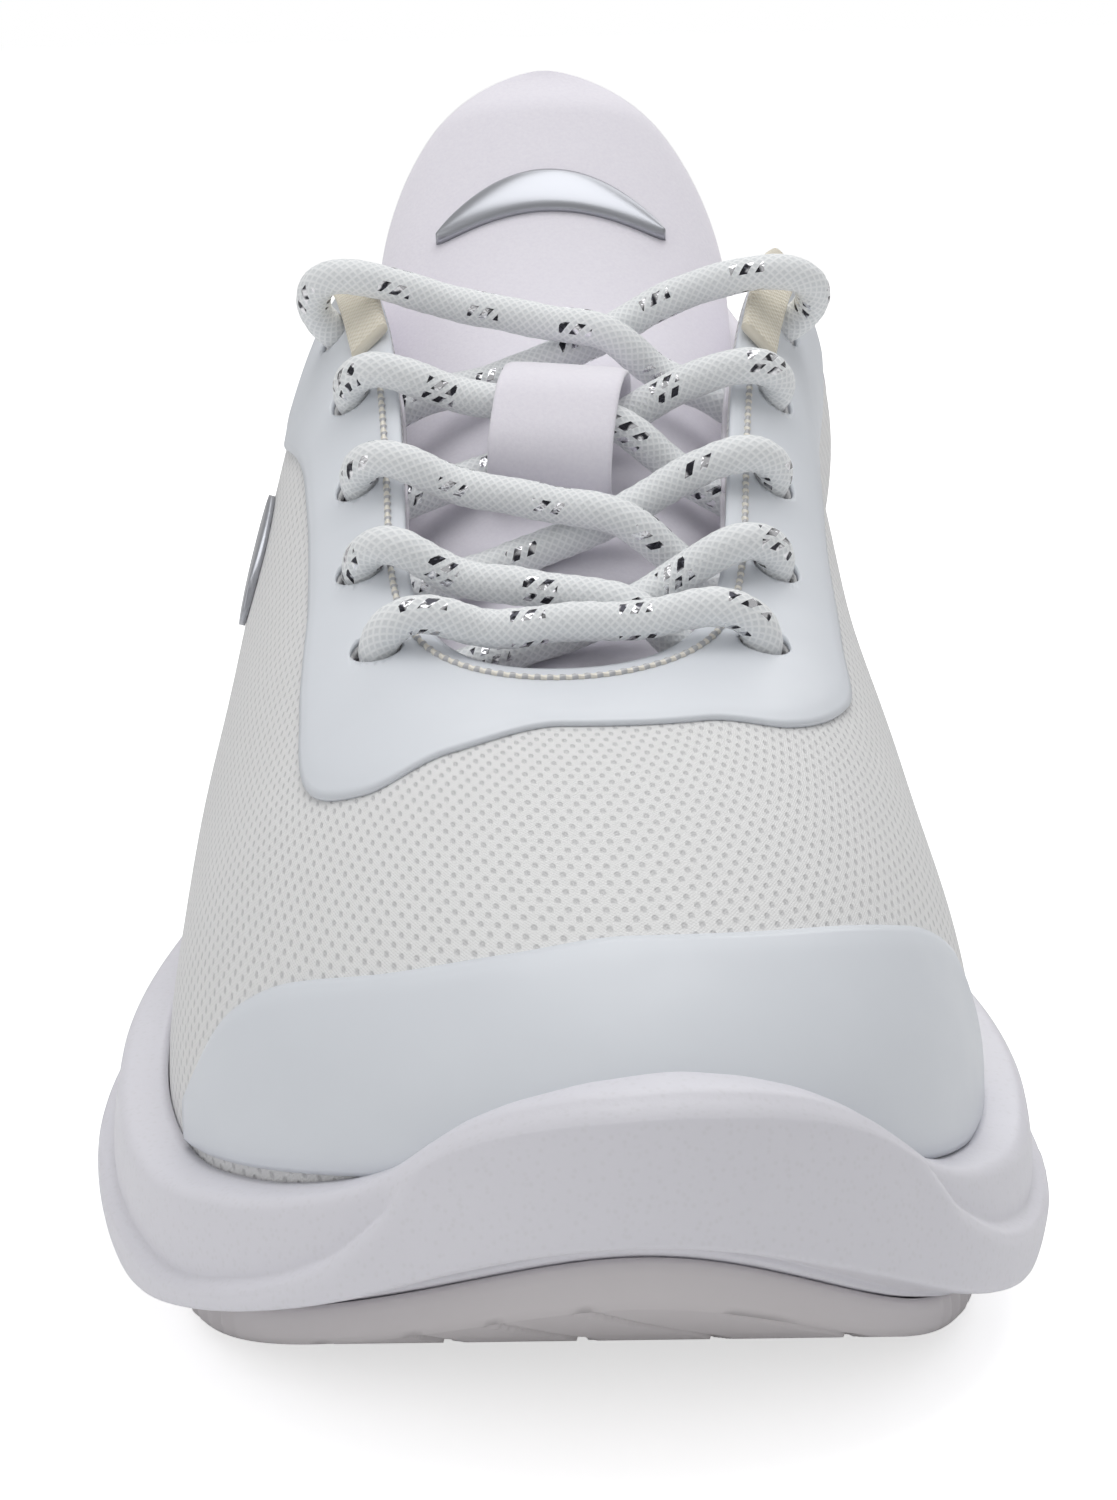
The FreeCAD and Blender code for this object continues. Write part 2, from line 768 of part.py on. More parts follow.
def make_outer_layers():
    """The knit and the films on top of it."""
    around = (0.03, STATIONS - 0.03)
    mesh = (0.0, -dim("mesh_thick"))
    hole = dim("eyelet_radius")
    upper_layer("eyestay_overlay", (4.5, 13.5), eyestay_edge, 0.995, FILM, 60, 7, hole)
    upper_layer("toe_overlay", (6.85, 11.2), 0.10, toe_edge, FILM, 60, 12)
    upper_layer("heel_overlay", (-1.7, 1.7), 0.12, heel_edge, FILM, 40, 10)
    upper_layer("side_emblem", (EMBLEM_FRONT, EMBLEM_BACK), emblem_low, emblem_high, FILM, 16, 4)
    upper_layer("mesh_upper", around, 0.02, 0.99, mesh, 120, 20, hole)


def make_stiffeners():
    """The hidden sheets that hold the upper's shape."""
    hole = dim("hidden_eyelet_radius")
    upper_layer("eyestay_backer", (5.35, 12.65), 0.70, 0.955, STIFFENER, 60, 7, hole)
    upper_layer("toe_puff", (7.3, 10.7), 0.03, 0.38, STIFFENER, 48, 12)
    upper_layer("heel_counter", (-2.2, 2.2), 0.03, 0.38, STIFFENER, 48, 12)


def make_linings():
    """The lining cloth, in four panels that meet edge to edge."""
    medial, lateral = (2.3, 6.42), (11.58, 15.7)
    hole = dim("hidden_eyelet_radius")
    upper_layer("vamp_lining", (6.45, 11.55), 0.03, 0.91, LINING, 60, 14, hole)
    upper_layer("quarter_lining_medial", medial, 0.03, quarter_top, LINING, 46, 12, hole)
    upper_layer("quarter_lining_lateral", lateral, 0.03, quarter_top, LINING, 46, 12, hole)
    upper_layer("heel_lining", (-2.27, 2.27), 0.03, 0.41, LINING, 48, 12)


def make_collar():
    """The collar's padding and the cloth that covers its inner side."""
    stations = (-COLLAR_FRONT, COLLAR_FRONT)
    foam_top, cover = STIFFENER_TOP, STIFFENER_TOP - GAP
    foam = (foam_top, lambda u, share: foam_top - foam_depth(u, share))
    cloth = (
        lambda u, share: cover - foam_depth(u, share),
        lambda u, share: cover - foam_depth(u, share) - dim("lining_thick"),
    )
    upper_layer("collar_foam", stations, 0.46, 0.96, foam, 90, 17)
    upper_layer("collar_lining", stations, 0.45, 0.985, cloth, 90, 17)


# The plain drop on the lateral side: its two ends and the height of its middle.
EMBLEM_FRONT, EMBLEM_BACK, EMBLEM_LINE = 12.5, 13.3, 0.52


def emblem_half(u):
    """Half height of the drop: round at the front, long at the back."""
    share = (u - EMBLEM_FRONT) / (EMBLEM_BACK - EMBLEM_FRONT)
    return 0.012 + 0.11 * math.sqrt(max(0.0, share * (1 - share))) * (1.5 - 0.8 * share)


def emblem_low(u):
    return EMBLEM_LINE - emblem_half(u)


def emblem_high(u):
    return EMBLEM_LINE + emblem_half(u)


# ---------------------------------------------------------------- tongue
# The tongue's outer face down its middle, from the seam under the throat to the tip:
# share of its length, place along the shoe, height.
SPINE = [
    (0.00, -64.0, 53.6),
    (0.19, -44.0, 60.2),
    (0.45, -16.0, 75.4),
    (0.70, 12.0, 90.7),
    (0.86, 30.0, 105.0),
    (1.00, 46.0, 121.0),
]
spine_y = smooth_table([(s, y) for s, y, _ in SPINE])
spine_z = smooth_table([(s, z) for s, _, z in SPINE])
tongue_half = smooth_table([(0.0, 18.0), (0.2, 20.0), (0.5, 21.5), (0.8, 23.0), (1.0, 23.0)])


def spine_frame(s):
    """Middle of the tongue's outer face with its directions towards the tip and outward."""
    step = 1e-3
    low, high = max(0.0, s - step), min(1.0, s + step)
    heading = Vector(0, spine_y(high) - spine_y(low), spine_z(high) - spine_z(low)).normalize()
    outward = Vector(0, -heading.z, heading.y)
    return Vector(-dim("tongue_lean") * s * s, spine_y(s), spine_z(s)), heading, outward


def tongue_point(s, x, depth):
    """A point of the tongue, depth below its outer face, at a distance x from its middle."""
    middle, _, outward = spine_frame(s)
    radius = dim("tongue_radius")
    drop = radius - math.sqrt(radius**2 - x**2)
    return middle + Vector(x, 0, 0) - outward * (drop + depth)


def tongue_width(s, margin):
    """Half width of the tongue, closing in a round arc at its tip."""
    to_tip = (1 - s) * dim("tongue_length")
    tip = dim("tongue_tip_half")
    if to_tip < tip:
        inside = max(0.06, 1 - (1 - to_tip / tip) ** 2)
        return (tongue_half(s) - margin) * math.sqrt(inside)
    return tongue_half(s) - margin


def foam_inside(s):
    """Thickness of the tongue's foam, thin at the seam and full near the tip."""
    growth = dim("tongue_top_foam") - dim("tongue_base_foam")
    return dim("tongue_base_foam") + growth * smoothstep(s / 0.75)


def tongue_layer(label, first, last, margin, top, bottom):
    """One layer of the tongue; a depth may be a function of the shares along and across."""
    grids = []
    for depth in (top, bottom):
        grid = []
        for turn in spread(0.0, math.pi / 2, 34):
            s = first + (last - first) * math.sin(turn)
            half = tongue_width(s, margin)
            grid.append([tongue_point(s, half * t, at(depth, s, t)) for t in spread(-1.0, 1.0, 9)])
        grids.append(grid)
    return piece(free_shape(label, slab_between(*grids)), label)


def make_tongue():
    """Face, foam and lining of the tongue."""
    cover = dim("tongue_cover")
    foam_top = cover + GAP

    def foam_bottom(s, t):
        return foam_top + foam_inside(s) * (0.25 + 0.75 * math.sqrt(max(0.0, 1 - t**4)))

    def lining_top(s, t):
        return foam_bottom(s, t) + GAP

    def lining_bottom(s, t):
        return lining_top(s, t) + dim("lining_thick")

    tongue_layer("tongue_face", 0.0, 1.0, 0.0, 0.0, cover)
    tongue_layer("tongue_foam", 0.03, 0.985, 1.0, foam_top, foam_bottom)
    tongue_layer("tongue_lining", 0.0, 1.0, 0.3, lining_top, lining_bottom)


def make_tongue_emblem():
    """A plain raised crescent across the top of the tongue."""
    half_length, half_height, place, droop = 15.0, 0.022, 0.865, 0.035
    grids = []
    for lift in (1.4, 0.3):
        grid = []
        for share in spread(-1.0, 1.0, 21):
            middle = place - droop * share * share
            half = half_height * math.sqrt(1.05 - share * share)
            line = [middle + half * t for t in (-1.0, -0.3, 0.3, 1.0)]
            grid.append([tongue_point(s, half_length * share, -lift) for s in line])
        grids.append(grid)
    return piece(free_shape("tongue_emblem", slab_between(*grids)), "tongue_emblem")


def keeper_arch(share):
    """Reach and rise of the keeper's arch: straight sides, a flat crown and tucked-in feet."""
    angle = math.pi * share
    reach = -math.cos(angle) * (0.62 + 0.38 * abs(math.cos(angle)) ** 3 + 0.2 * math.sin(angle))
    rise = math.sqrt(max(0.0, math.sin(angle)))
    return reach * dim("keeper_span") / 2, rise * dim("keeper_clear")


def make_keeper(centre):
    """The tab that holds the crossed laces down on the tongue, sewn at both ends."""
    middle, heading, outward = spine_frame(centre)
    tilt = math.radians(dim("keeper_tilt"))
    run = Vector(math.sin(tilt), heading.y * math.cos(tilt), heading.z * math.cos(tilt))
    points = []
    for share in spread(0.0, 1.0, 13):
        reach, rise = keeper_arch(share)
        points.append(middle + run * reach + outward * (rise + 1.0))
    band = strap(points, run.cross(outward), dim("keeper_width"), dim("keeper_thick"))
    return piece(free_shape("lace_keeper", band), "lace_keeper")


# ---------------------------------------------------------------- lace
OVER = FILM[0] + 2 * dim("stitch_radius") + GAP + dim("lace_radius")
UNDER = LINING[1] - dim("lace_gap") - dim("lace_radius")
TURN = (OVER - UNDER) / 2


def tongue_share(y):
    """Share of the tongue's length at a place along the shoe."""
    return crossing(0.0, 1.0, lambda s: spine_y(s) < y)


def lace_lift(row):
    """Extra height over the webbing loops that lie under the top row."""
    return dim("loop_lift") if row == 0 else 0.0


# Heights of a strand above the tongue, from the eyelet it leaves under the edge to the one
# it enters over the edge: (distance from the middle, height). The upper strand of each
# crossing leaves on the medial side, the lower one on the lateral side.
UPPER_STRAND = [(12, 4.8), (6, 7.7), (0, 7.4), (-6, 8.1), (-12, 9.8)]
LOWER_STRAND = [(10, 2.9), (0, 2.6), (-6, 4.1), (-12, 7.8)]
BAR = [(9, 9.2), (0, 8.2), (-9, 9.2)]


def strand_points(start_at, finish_at, heights, over_lift):
    """Waypoints across the tongue between two eyelets."""
    start, finish = eyelet(*start_at)[0], eyelet(*finish_at)[0]
    points = []
    for distance, height in heights:
        x = distance * start_at[0]
        share = (x - start.x) / (finish.x - start.x)
        s = tongue_share(start.y + (finish.y - start.y) * share + 2.0)
        lift = height + over_lift * max(0.0, share)
        points.append(tongue_point(s, x, 0.0) + spine_frame(s)[2] * lift)
    return points


def turn_points(side, row, towards_under, towards_over):
    """The lace's turn up through an eyelet, from under the edge to over it."""
    centre, outward = eyelet(side, row)
    points = []
    for degrees in (-90, -50, -20, 20, 50, 90):
        turned = math.radians(degrees)
        towards = towards_under if degrees < 0 else towards_over
        heading = towards - centre
        heading = (heading - outward * heading.dot(outward)).normalize()
        lift = lace_lift(row) * max(0.0, math.sin(turned))
        rise = (OVER + UNDER) / 2 + TURN * math.sin(turned) + lift
        points.append(centre + heading * (TURN * (1 - math.cos(turned))) + outward * rise)
    return points


# The eyelets in the order the lace visits them: down from the top on one side, across the
# front, and back up. On the way down it comes up through each eyelet, and then it goes down.
MEDIAL, LATERAL = 1, -1
WAY_DOWN = [(LATERAL, 0), (MEDIAL, 1), (LATERAL, 2), (MEDIAL, 3), (LATERAL, 4)]
WAY_BACK = [(MEDIAL, 4), (LATERAL, 3), (MEDIAL, 2), (LATERAL, 1), (MEDIAL, 0)]
# The loose end inside the shoe: stations behind the top eyelet, height on the wall, offset.
TAIL = [(0.40, 0.64, -10.1), (0.75, 0.575, -11.9), (1.10, 0.53, -12.9)]


def station_on(side, u):
    """A medial station, or the lateral one that faces it."""
    return u if side == MEDIAL else STATIONS - u


def top_station(side):
    """The top eyelet's station, counted from the heel along its own side."""
    return station_on(side, EYELETS[side][0])


def tail_points(side):
    """The loose end tucked down inside the shoe, from the top eyelet."""
    return [upper_point(station_on(side, top_station(side) - back), v, depth) for back, v, depth in TAIL]


def strand_between(here, there):
    """Waypoints of the strand from one eyelet to the next."""
    if here[1] == there[1]:
        return strand_points(here, there, BAR, 0.0)
    climbs = here[1] > there[1]
    start, finish = (here, there) if climbs else (there, here)
    heights = UPPER_STRAND if start[0] == MEDIAL else LOWER_STRAND
    points = strand_points(start, finish, heights, lace_lift(finish[1]))
    return points if climbs else points[::-1]


def lace_line():
    """Waypoints of the whole lace, from one tucked end to the other."""
    route = WAY_DOWN + WAY_BACK
    runs = [tail_points(LATERAL)[::-1]]
    runs += [strand_between(here, there) for here, there in zip(route, route[1:])]
    runs.append(tail_points(MEDIAL))
    points = list(runs[0])
    for i, eyelet_at in enumerate(route):
        before, after = runs[i][-1], runs[i + 1][0]
        if i < len(WAY_DOWN):
            points += turn_points(*eyelet_at, before, after)
        else:
            points += turn_points(*eyelet_at, after, before)[::-1]
        points += runs[i + 1]
    return points


def make_lace():
    """One round lace through all ten eyelets, with an aglet on each tucked end."""
    points = lace_line()
    piece(free_shape("lace", cord(points, dim("lace_radius"))), "lace")
    aglets = []
    for end, before in ((points[0], points[1]), (points[-1], points[-2])):
        heading = (end - before).normalize()
        start = end + heading * dim("lace_gap")
        aglets.append(Part.makeCylinder(dim("aglet_radius"), dim("aglet_length"), start, heading))
    piece(free_shape("lace_aglets", Part.makeCompound(aglets)), "lace_aglets")


# ---------------------------------------------------------------- trims
# The loops' path beside the top eyelet: stations ahead of it and height on the wall.
LOOP_PATH = [(0.40, 0.945), (0.20, 0.947), (0.0, 0.952), (-0.20, 0.960), (-0.36, 0.972)]


def make_throat_stitching():
    """The decorative cord sewn just outside the throat's edge, between the webbing loops."""
    offset = FILM[0] + dim("stitch_radius") + 0.03
    first = max(top_station(side) for side in (MEDIAL, LATERAL)) + LOOP_PATH[0][0] + 0.1
    stations = spread(first, STATIONS - first, 60)
    points = [upper_point(u, dim("stitch_line"), offset) for u in stations]
    return piece(free_shape("throat_stitching", cord(points, dim("stitch_radius"))), "throat_stitching")


def make_lace_loop(side, label):
    """A webbing loop beside the top eyelet, folded over the top corner of the opening."""
    top = top_station(side)
    lift = FILM[0] + 1.5 * GAP
    points = [upper_point(station_on(side, top + ahead), v, lift) for ahead, v in LOOP_PATH]
    to_edge = wall_frame(station_on(side, top), LOOP_PATH[2][1])[1]
    band = strap(points, to_edge * side, dim("webbing_width"), dim("webbing_thick"))
    return piece(free_shape(label, band), label)


def make_heel_loop():
    """The webbing pull loop that stands behind the collar."""
    foot = upper_point(0.0, 0.97, FILM[0] + GAP + dim("webbing_thick"))
    radius = dim("heel_loop_gap") / 2
    leg = dim("heel_loop_height") - radius
    points = [foot + Vector(0, 0, leg * share) for share in (0.0, 0.25, 0.5, 0.75)]
    for degrees in range(0, 181, 20):
        angle = math.radians(degrees)
        points.append(foot + Vector(0, radius * (1 - math.cos(angle)), leg + radius * math.sin(angle)))
    points += [foot + Vector(0, 2 * radius, leg * share) for share in (0.75, 0.5, 0.25, 0.0)]
    band = strap(points, Vector(-1, 0, 0), dim("heel_webbing_width"), dim("webbing_thick"))
    return piece(free_shape("heel_pull_loop", band), "heel_pull_loop")


# ---------------------------------------------------------------- assembly
def build():
    make_outsole()
    make_midsole()
    sock_lift = dim("board_thick") + 2 * GAP
    make_foot_layer("strobel_board", dim("board_inset"), GAP, dim("board_thick"))
    make_foot_layer("sockliner", dim("sockliner_inset"), sock_lift, dim("sockliner_thick"))
    make_outer_layers()
    make_stiffeners()
    make_linings()
    make_collar()
    make_tongue()
    make_tongue_emblem()
    between_rows = (eyelet(MEDIAL, 1)[0].y + eyelet(MEDIAL, 2)[0].y) / 2
    make_keeper(tongue_share(between_rows + 1.0))
    make_throat_stitching()
    make_lace()
    make_lace_loop(MEDIAL, "lace_loop_medial")
    make_lace_loop(LATERAL, "lace_loop_lateral")
    make_heel_loop()
    doc.recompute()


def check():
    """Stops before anything is written if any object failed."""
    for obj in doc.Objects:
        bad = [state for state in obj.State if state in ("Invalid", "Error")]
        if bad:
            raise RuntimeError(f"{obj.Label}: {bad}")
    for obj in PIECES:
        if obj.Shape.isNull() or not obj.Shape.isValid() or not obj.Shape.Solids:
            raise RuntimeError(f"{obj.Label}: not a valid solid")


def write():
    os.makedirs("parts", exist_ok=True)
    for obj in PIECES:
        obj.Shape.exportStep(f"parts/{obj.Label}.step")


build()
check()
write()
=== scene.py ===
"""The looks of a right-foot cheer shoe, built round its CAD frame.

Lengths in the shape functions are millimetres in the CAD's frame: +Z up, toe towards -Y, inner
(medial) side +X. add_mesh turns them into metres. The upper is the CAD's own surface: u runs
round the shoe in stations, 0 at the heel, 9 at the toe, 18 at the heel again, and v runs from
the footbed, 0, to the edge of the opening, 1.
"""

import json
import math

import bmesh
import bpy
import numpy as np
from mathutils import Matrix, Vector
from mathutils.kdtree import KDTree


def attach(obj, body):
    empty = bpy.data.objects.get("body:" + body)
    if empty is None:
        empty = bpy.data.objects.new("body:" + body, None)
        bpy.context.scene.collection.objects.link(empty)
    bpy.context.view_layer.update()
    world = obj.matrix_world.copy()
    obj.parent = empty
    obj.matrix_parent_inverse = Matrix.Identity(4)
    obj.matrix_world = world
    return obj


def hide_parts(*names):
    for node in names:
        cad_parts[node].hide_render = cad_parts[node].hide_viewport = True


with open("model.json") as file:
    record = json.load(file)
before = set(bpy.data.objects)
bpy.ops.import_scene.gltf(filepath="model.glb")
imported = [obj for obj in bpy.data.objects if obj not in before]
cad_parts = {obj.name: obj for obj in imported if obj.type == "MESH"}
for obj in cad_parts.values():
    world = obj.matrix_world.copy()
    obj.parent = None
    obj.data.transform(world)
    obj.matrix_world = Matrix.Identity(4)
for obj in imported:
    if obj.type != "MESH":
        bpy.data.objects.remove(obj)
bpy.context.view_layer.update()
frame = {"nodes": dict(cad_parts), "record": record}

MM = 0.001
MERGE_DISTANCE = 0.02
STATIONS = 18
TOE = 9


# ---------------------------------------------------------------- curves and the wall surface
SOLE_LENGTH, BALL_WIDTH = 266.0, 99.0
FEATHER_INSET = 8.2
FOOTBED_HEEL, FOOTBED_BALL = 22.0, 12.5

# Outline control points from the heel along the medial side to the toe and back:
# (share of the ball width, share of the sole length).
OUTLINE = [
    (0.000, 0.526),
    (0.263, 0.511),
    (0.364, 0.406),
    (0.354, 0.263),
    (0.293, 0.113),
    (0.313, -0.038),
    (0.480, -0.180),
    (0.515, -0.316),
    (0.343, -0.444),
    (0.091, -0.492),
    (-0.162, -0.459),
    (-0.444, -0.376),
    (-0.535, -0.233),
    (-0.485, -0.075),
    (-0.414, 0.075),
    (-0.374, 0.244),
    (-0.364, 0.398),
    (-0.263, 0.511),
]

# Half width, place and height of the opening's edge from the heel to the toe.
OPENING = [
    (0.0, 131.0, 94.0),
    (17.0, 129.0, 92.0),
    (29.0, 104.0, 78.0),
    (35.0, 70.0, 66.0),
    (36.0, 40.0, 78.0),
    (25.0, 17.0, 104.0),
    (18.5, -12.0, 84.0),
    (18.0, -44.0, 66.0),
    (12.0, -56.0, 61.0),
    (0.0, -57.0, 60.0),
]
THROAT_SKEW, THROAT_HALF = 0.08, 18.0

# Outward and upward reach of the wall from the footbed, then from the opening.
WALL = [
    (7.0, 26.0, 5.0, -24.0),
    (7.0, 26.0, 4.0, -24.0),
    (6.0, 24.0, 4.0, -20.0),
    (6.0, 20.0, 3.0, -16.0),
    (7.0, 24.0, 5.0, -16.0),
    (5.0, 29.0, 11.0, -7.0),
    (3.0, 27.0, 10.0, -6.0),
    (4.0, 23.0, 13.0, -5.0),
    (8.0, 18.0, 19.0, 0.0),
    (2.5, 16.0, 34.0, -2.0),
]


def smoothstep(t):
    """A share from 0 to 1 that starts and ends level."""
    t = np.clip(t, 0.0, 1.0)
    return t * t * (3 - 2 * t)


def unit(vectors):
    """Vectors scaled to length one along the last axis."""
    return vectors / np.maximum(np.linalg.norm(vectors, axis=-1, keepdims=True), 1e-12)


def outline_ring(inset):
    """Control points of the outline moved inwards, and each one's outward direction."""
    points = np.array([(x * BALL_WIDTH, y * SOLE_LENGTH) for x, y in OUTLINE])
    tangent = unit(np.roll(points, -1, axis=0) - np.roll(points, 1, axis=0))
    outward = np.stack([-tangent[:, 1], tangent[:, 0]], axis=1)
    return points - outward * inset, outward


def footbed_height(y):
    """Height of the midsole floor at a place along the shoe, rising into the toe."""
    level = FOOTBED_HEEL + (FOOTBED_BALL - FOOTBED_HEEL) * smoothstep((60.0 - y) / 115.0)
    return level + 15.5 * (np.maximum(0.0, -77.0 - y) / 45.0) ** 1.5


def wall_rings():
    """The four rings of control points that shape the upper."""
    foot, outward = outline_ring(FEATHER_INSET)
    rings = np.zeros((4, STATIONS, 3))
    up = np.array([0.0, 0.0, 1.0])
    for i in range(STATIONS):
        half = min(i, STATIONS - i)
        side = 1 if i <= TOE else -1
        width, y, z = OPENING[half]
        skew = THROAT_SKEW * side * width if half > 4 else 0.0
        edge = np.array([side * width, y + skew, z])
        base = np.array([foot[i, 0], foot[i, 1], footbed_height(foot[i, 1])])
        out_low, up_low, out_high, up_high = WALL[half]
        away = np.array([outward[i, 0], outward[i, 1], 0.0])
        lower, upper = base + away * out_low + up * up_low, edge + away * out_high + up * up_high
        rings[:, i] = base, lower, upper, edge
    return rings


RINGS = wall_rings()


def along(ring, u):
    """Uniform cubic B-spline through a closed ring of control points, at stations u."""
    u = np.asarray(u, float)
    i = np.floor(u).astype(int)
    t = (u - i)[..., None]
    weights = (
        (1 - t) ** 3 / 6,
        (3 * t**3 - 6 * t**2 + 4) / 6,
        (-3 * t**3 + 3 * t**2 + 3 * t + 1) / 6,
        t**3 / 6,
    )
    return sum(w * ring[(i - 1 + k) % len(ring)] for k, w in enumerate(weights))


def wall_point(u, v):
    """A point of the upper's outer surface: a cubic curve across the four rings."""
    u, v = np.broadcast_arrays(np.asarray(u, float), np.asarray(v, float))
    low, lower, upper, high = (along(ring, u) for ring in RINGS)
    v = v[..., None]
    s = 1 - v
    return low * s**3 + lower * (3 * s * s * v) + upper * (3 * s * v * v) + high * v**3


def wall_frame(u, v):
    """Round the shoe, towards the opening, and outward, at points of the wall."""
    step = 1e-3
    around = unit(wall_point(np.add(u, step), v) - wall_point(np.subtract(u, step), v))
    upward = wall_point(u, np.add(v, step)) - wall_point(u, np.subtract(v, step))
    outward = unit(np.cross(upward, around))
    return around, unit(np.cross(around, outward)), outward


# Height and length of the slight waves in the upper's cloth.
CLOTH_RIPPLE, RIPPLE_LENGTH = 0.18, 34.0


def ripple(points, scale, seed):
    """Smooth wandering between about -1 and 1, from a few crossed waves."""
    total = np.zeros(points.shape[:-1])
    waves = np.random.default_rng(seed)
    for _ in range(6):
        direction = unit(waves.normal(size=3)) * math.tau / (scale * waves.uniform(0.7, 1.6))
        total += np.sin(points @ direction + waves.uniform(0, math.tau))
    return total / 3.0


def upper_point(u, v, offset, soft=CLOTH_RIPPLE):
    """A point at a distance outside (+) or inside (-) the upper, with its slight softness."""
    point = wall_point(u, v)
    outward = wall_frame(u, v)[2]
    lift = soft * ripple(point, RIPPLE_LENGTH, 3) if soft else 0.0
    return point + outward * (np.asarray(offset) + lift)[..., None]


def distance_along(line):
    """Distance from the start of a line of points to each of them."""
    return np.concatenate([[0.0], np.cumsum(np.linalg.norm(np.diff(line, axis=0), axis=1))])


def spline(points, count_per_mm=1.0):
    """Evenly spaced points along a natural cubic spline through waypoints."""
    points = np.asarray(points, float)
    chord = np.linalg.norm(np.diff(points, axis=0), axis=1)
    knots = np.concatenate([[0.0], np.cumsum(chord)])
    n = len(points)
    system = np.eye(n)
    rates = np.zeros_like(points)
    for k in range(1, n - 1):
        before, after = chord[k - 1], chord[k]
        system[k, k - 1 : k + 2] = before, 2 * (before + after), after
        rates[k] = 6 * ((points[k + 1] - points[k]) / after - (points[k] - points[k - 1]) / before)
    bend = np.linalg.solve(system, rates)
    count = max(8, int(knots[-1] * count_per_mm * 3))
    at = np.linspace(0, knots[-1], count)
    k = np.clip(np.searchsorted(knots, at, side="right") - 1, 0, n - 2)
    h = chord[k][:, None]
    b = ((at - knots[k])[:, None]) / h
    a = 1 - b
    dense = a * points[k] + b * points[k + 1]
    dense += ((a**3 - a) * bend[k] + (b**3 - b) * bend[k + 1]) * h**2 / 6
    length = distance_along(dense)
    wanted = np.linspace(0, length[-1], max(8, int(length[-1] * count_per_mm)))
    return np.stack([np.interp(wanted, length, dense[:, axis]) for axis in range(3)], axis=1)


def table(pairs):
    """A smooth function through (place, amount) pairs that never overshoots them."""
    places = np.array([p for p, _ in pairs], float)
    amounts = np.array([a for _, a in pairs], float)
    spans = np.diff(places)
    rates = np.diff(amounts) / spans
    slopes = np.zeros(len(places))
    slopes[0], slopes[-1] = rates[0], rates[-1]
    same_way = rates[:-1] * rates[1:] > 0
    both = np.where(same_way, rates[:-1] + rates[1:], 1.0)
    slopes[1:-1] = np.where(same_way, 2 * rates[:-1] * rates[1:] / both, 0.0)

    def amount_at(place):
        place = np.clip(place, places[0], places[-1])
        i = np.clip(np.searchsorted(places, place, side="right") - 1, 0, len(spans) - 1)
        t = (place - places[i]) / spans[i]
        start = amounts[i] * (1 + 2 * t) + slopes[i] * spans[i] * t
        end = amounts[i + 1] * (3 - 2 * t) - slopes[i + 1] * spans[i] * (1 - t)
        return start * (1 - t) ** 2 + end * t * t

    return amount_at


# ---------------------------------------------------------------- meshes
def add_mesh(name, points, faces, material, body, stands_for, measure=None):
    """Makes a piece from points in millimetres; measure is a length or place to paint by."""
    mesh = bpy.data.meshes.new(name)
    mesh.from_pydata([tuple(p) for p in np.asarray(points) * MM], [], faces)
    if measure is not None:
        marks = mesh.attributes.new("measure", "FLOAT_VECTOR", "POINT")
        marks.data.foreach_set("vector", np.asarray(measure, np.float32).ravel())
    mesh.validate()
    mesh.update()
    mesh.shade_smooth()
    obj = bpy.data.objects.new(name, mesh)
    bpy.context.scene.collection.objects.link(obj)
    mesh.materials.append(material)
    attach(obj, body)
    if stands_for:
        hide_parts(*stands_for)
    return obj


def grid_faces(rows, columns, start=0, wrap_rows=False, wrap_columns=False, flip=False):
    """Quads over a grid of points stored row by row."""
    faces = []
    for i in range(rows if wrap_rows else rows - 1):
        for j in range(columns if wrap_columns else columns - 1):
            i2, j2 = (i + 1) % rows, (j + 1) % columns
            quad = (i * columns + j, i2 * columns + j, i2 * columns + j2, i * columns + j2)
            quad = tuple(start + q for q in quad)
            faces.append(quad[::-1] if flip else quad)
    return faces


def grid_measure(grid):
    """Distance along each row and each column of a grid, in millimetres."""
    down = distance_along(grid[:, grid.shape[1] // 2])
    across = np.linalg.norm(np.diff(grid, axis=1), axis=2)
    across = np.concatenate([np.zeros((len(grid), 1)), np.cumsum(across, axis=1)], axis=1)
    across -= across[:, grid.shape[1] // 2][:, None]
    measure = np.zeros(grid.shape)
    measure[..., 0] = down[:, None]
    measure[..., 1] = across
    return measure


def slab(name, outer, inner, material, body, stands_for, flip=False):
    """A closed sheet between two matching grids of points."""
    rows, columns = outer.shape[:2]
    size = rows * columns
    points = np.concatenate([outer.reshape(-1, 3), inner.reshape(-1, 3)])
    measure = grid_measure(outer)
    measure = np.concatenate([measure.reshape(-1, 3), measure.reshape(-1, 3)])
    faces = grid_faces(rows, columns, flip=flip) + grid_faces(rows, columns, size, flip=not flip)
    border = [j for j in range(columns)]
    border += [i * columns + columns - 1 for i in range(1, rows)]
    border += [(rows - 1) * columns + j for j in range(columns - 2, -1, -1)]
    border += [i * columns for i in range(rows - 2, 0, -1)]
    for a, b in zip(border, border[1:] + border[:1]):
        quad = (a, b, b + size, a + size)
        faces.append(quad[::-1] if flip else quad)
    return add_mesh(name, points, faces, material, body, stands_for, measure)


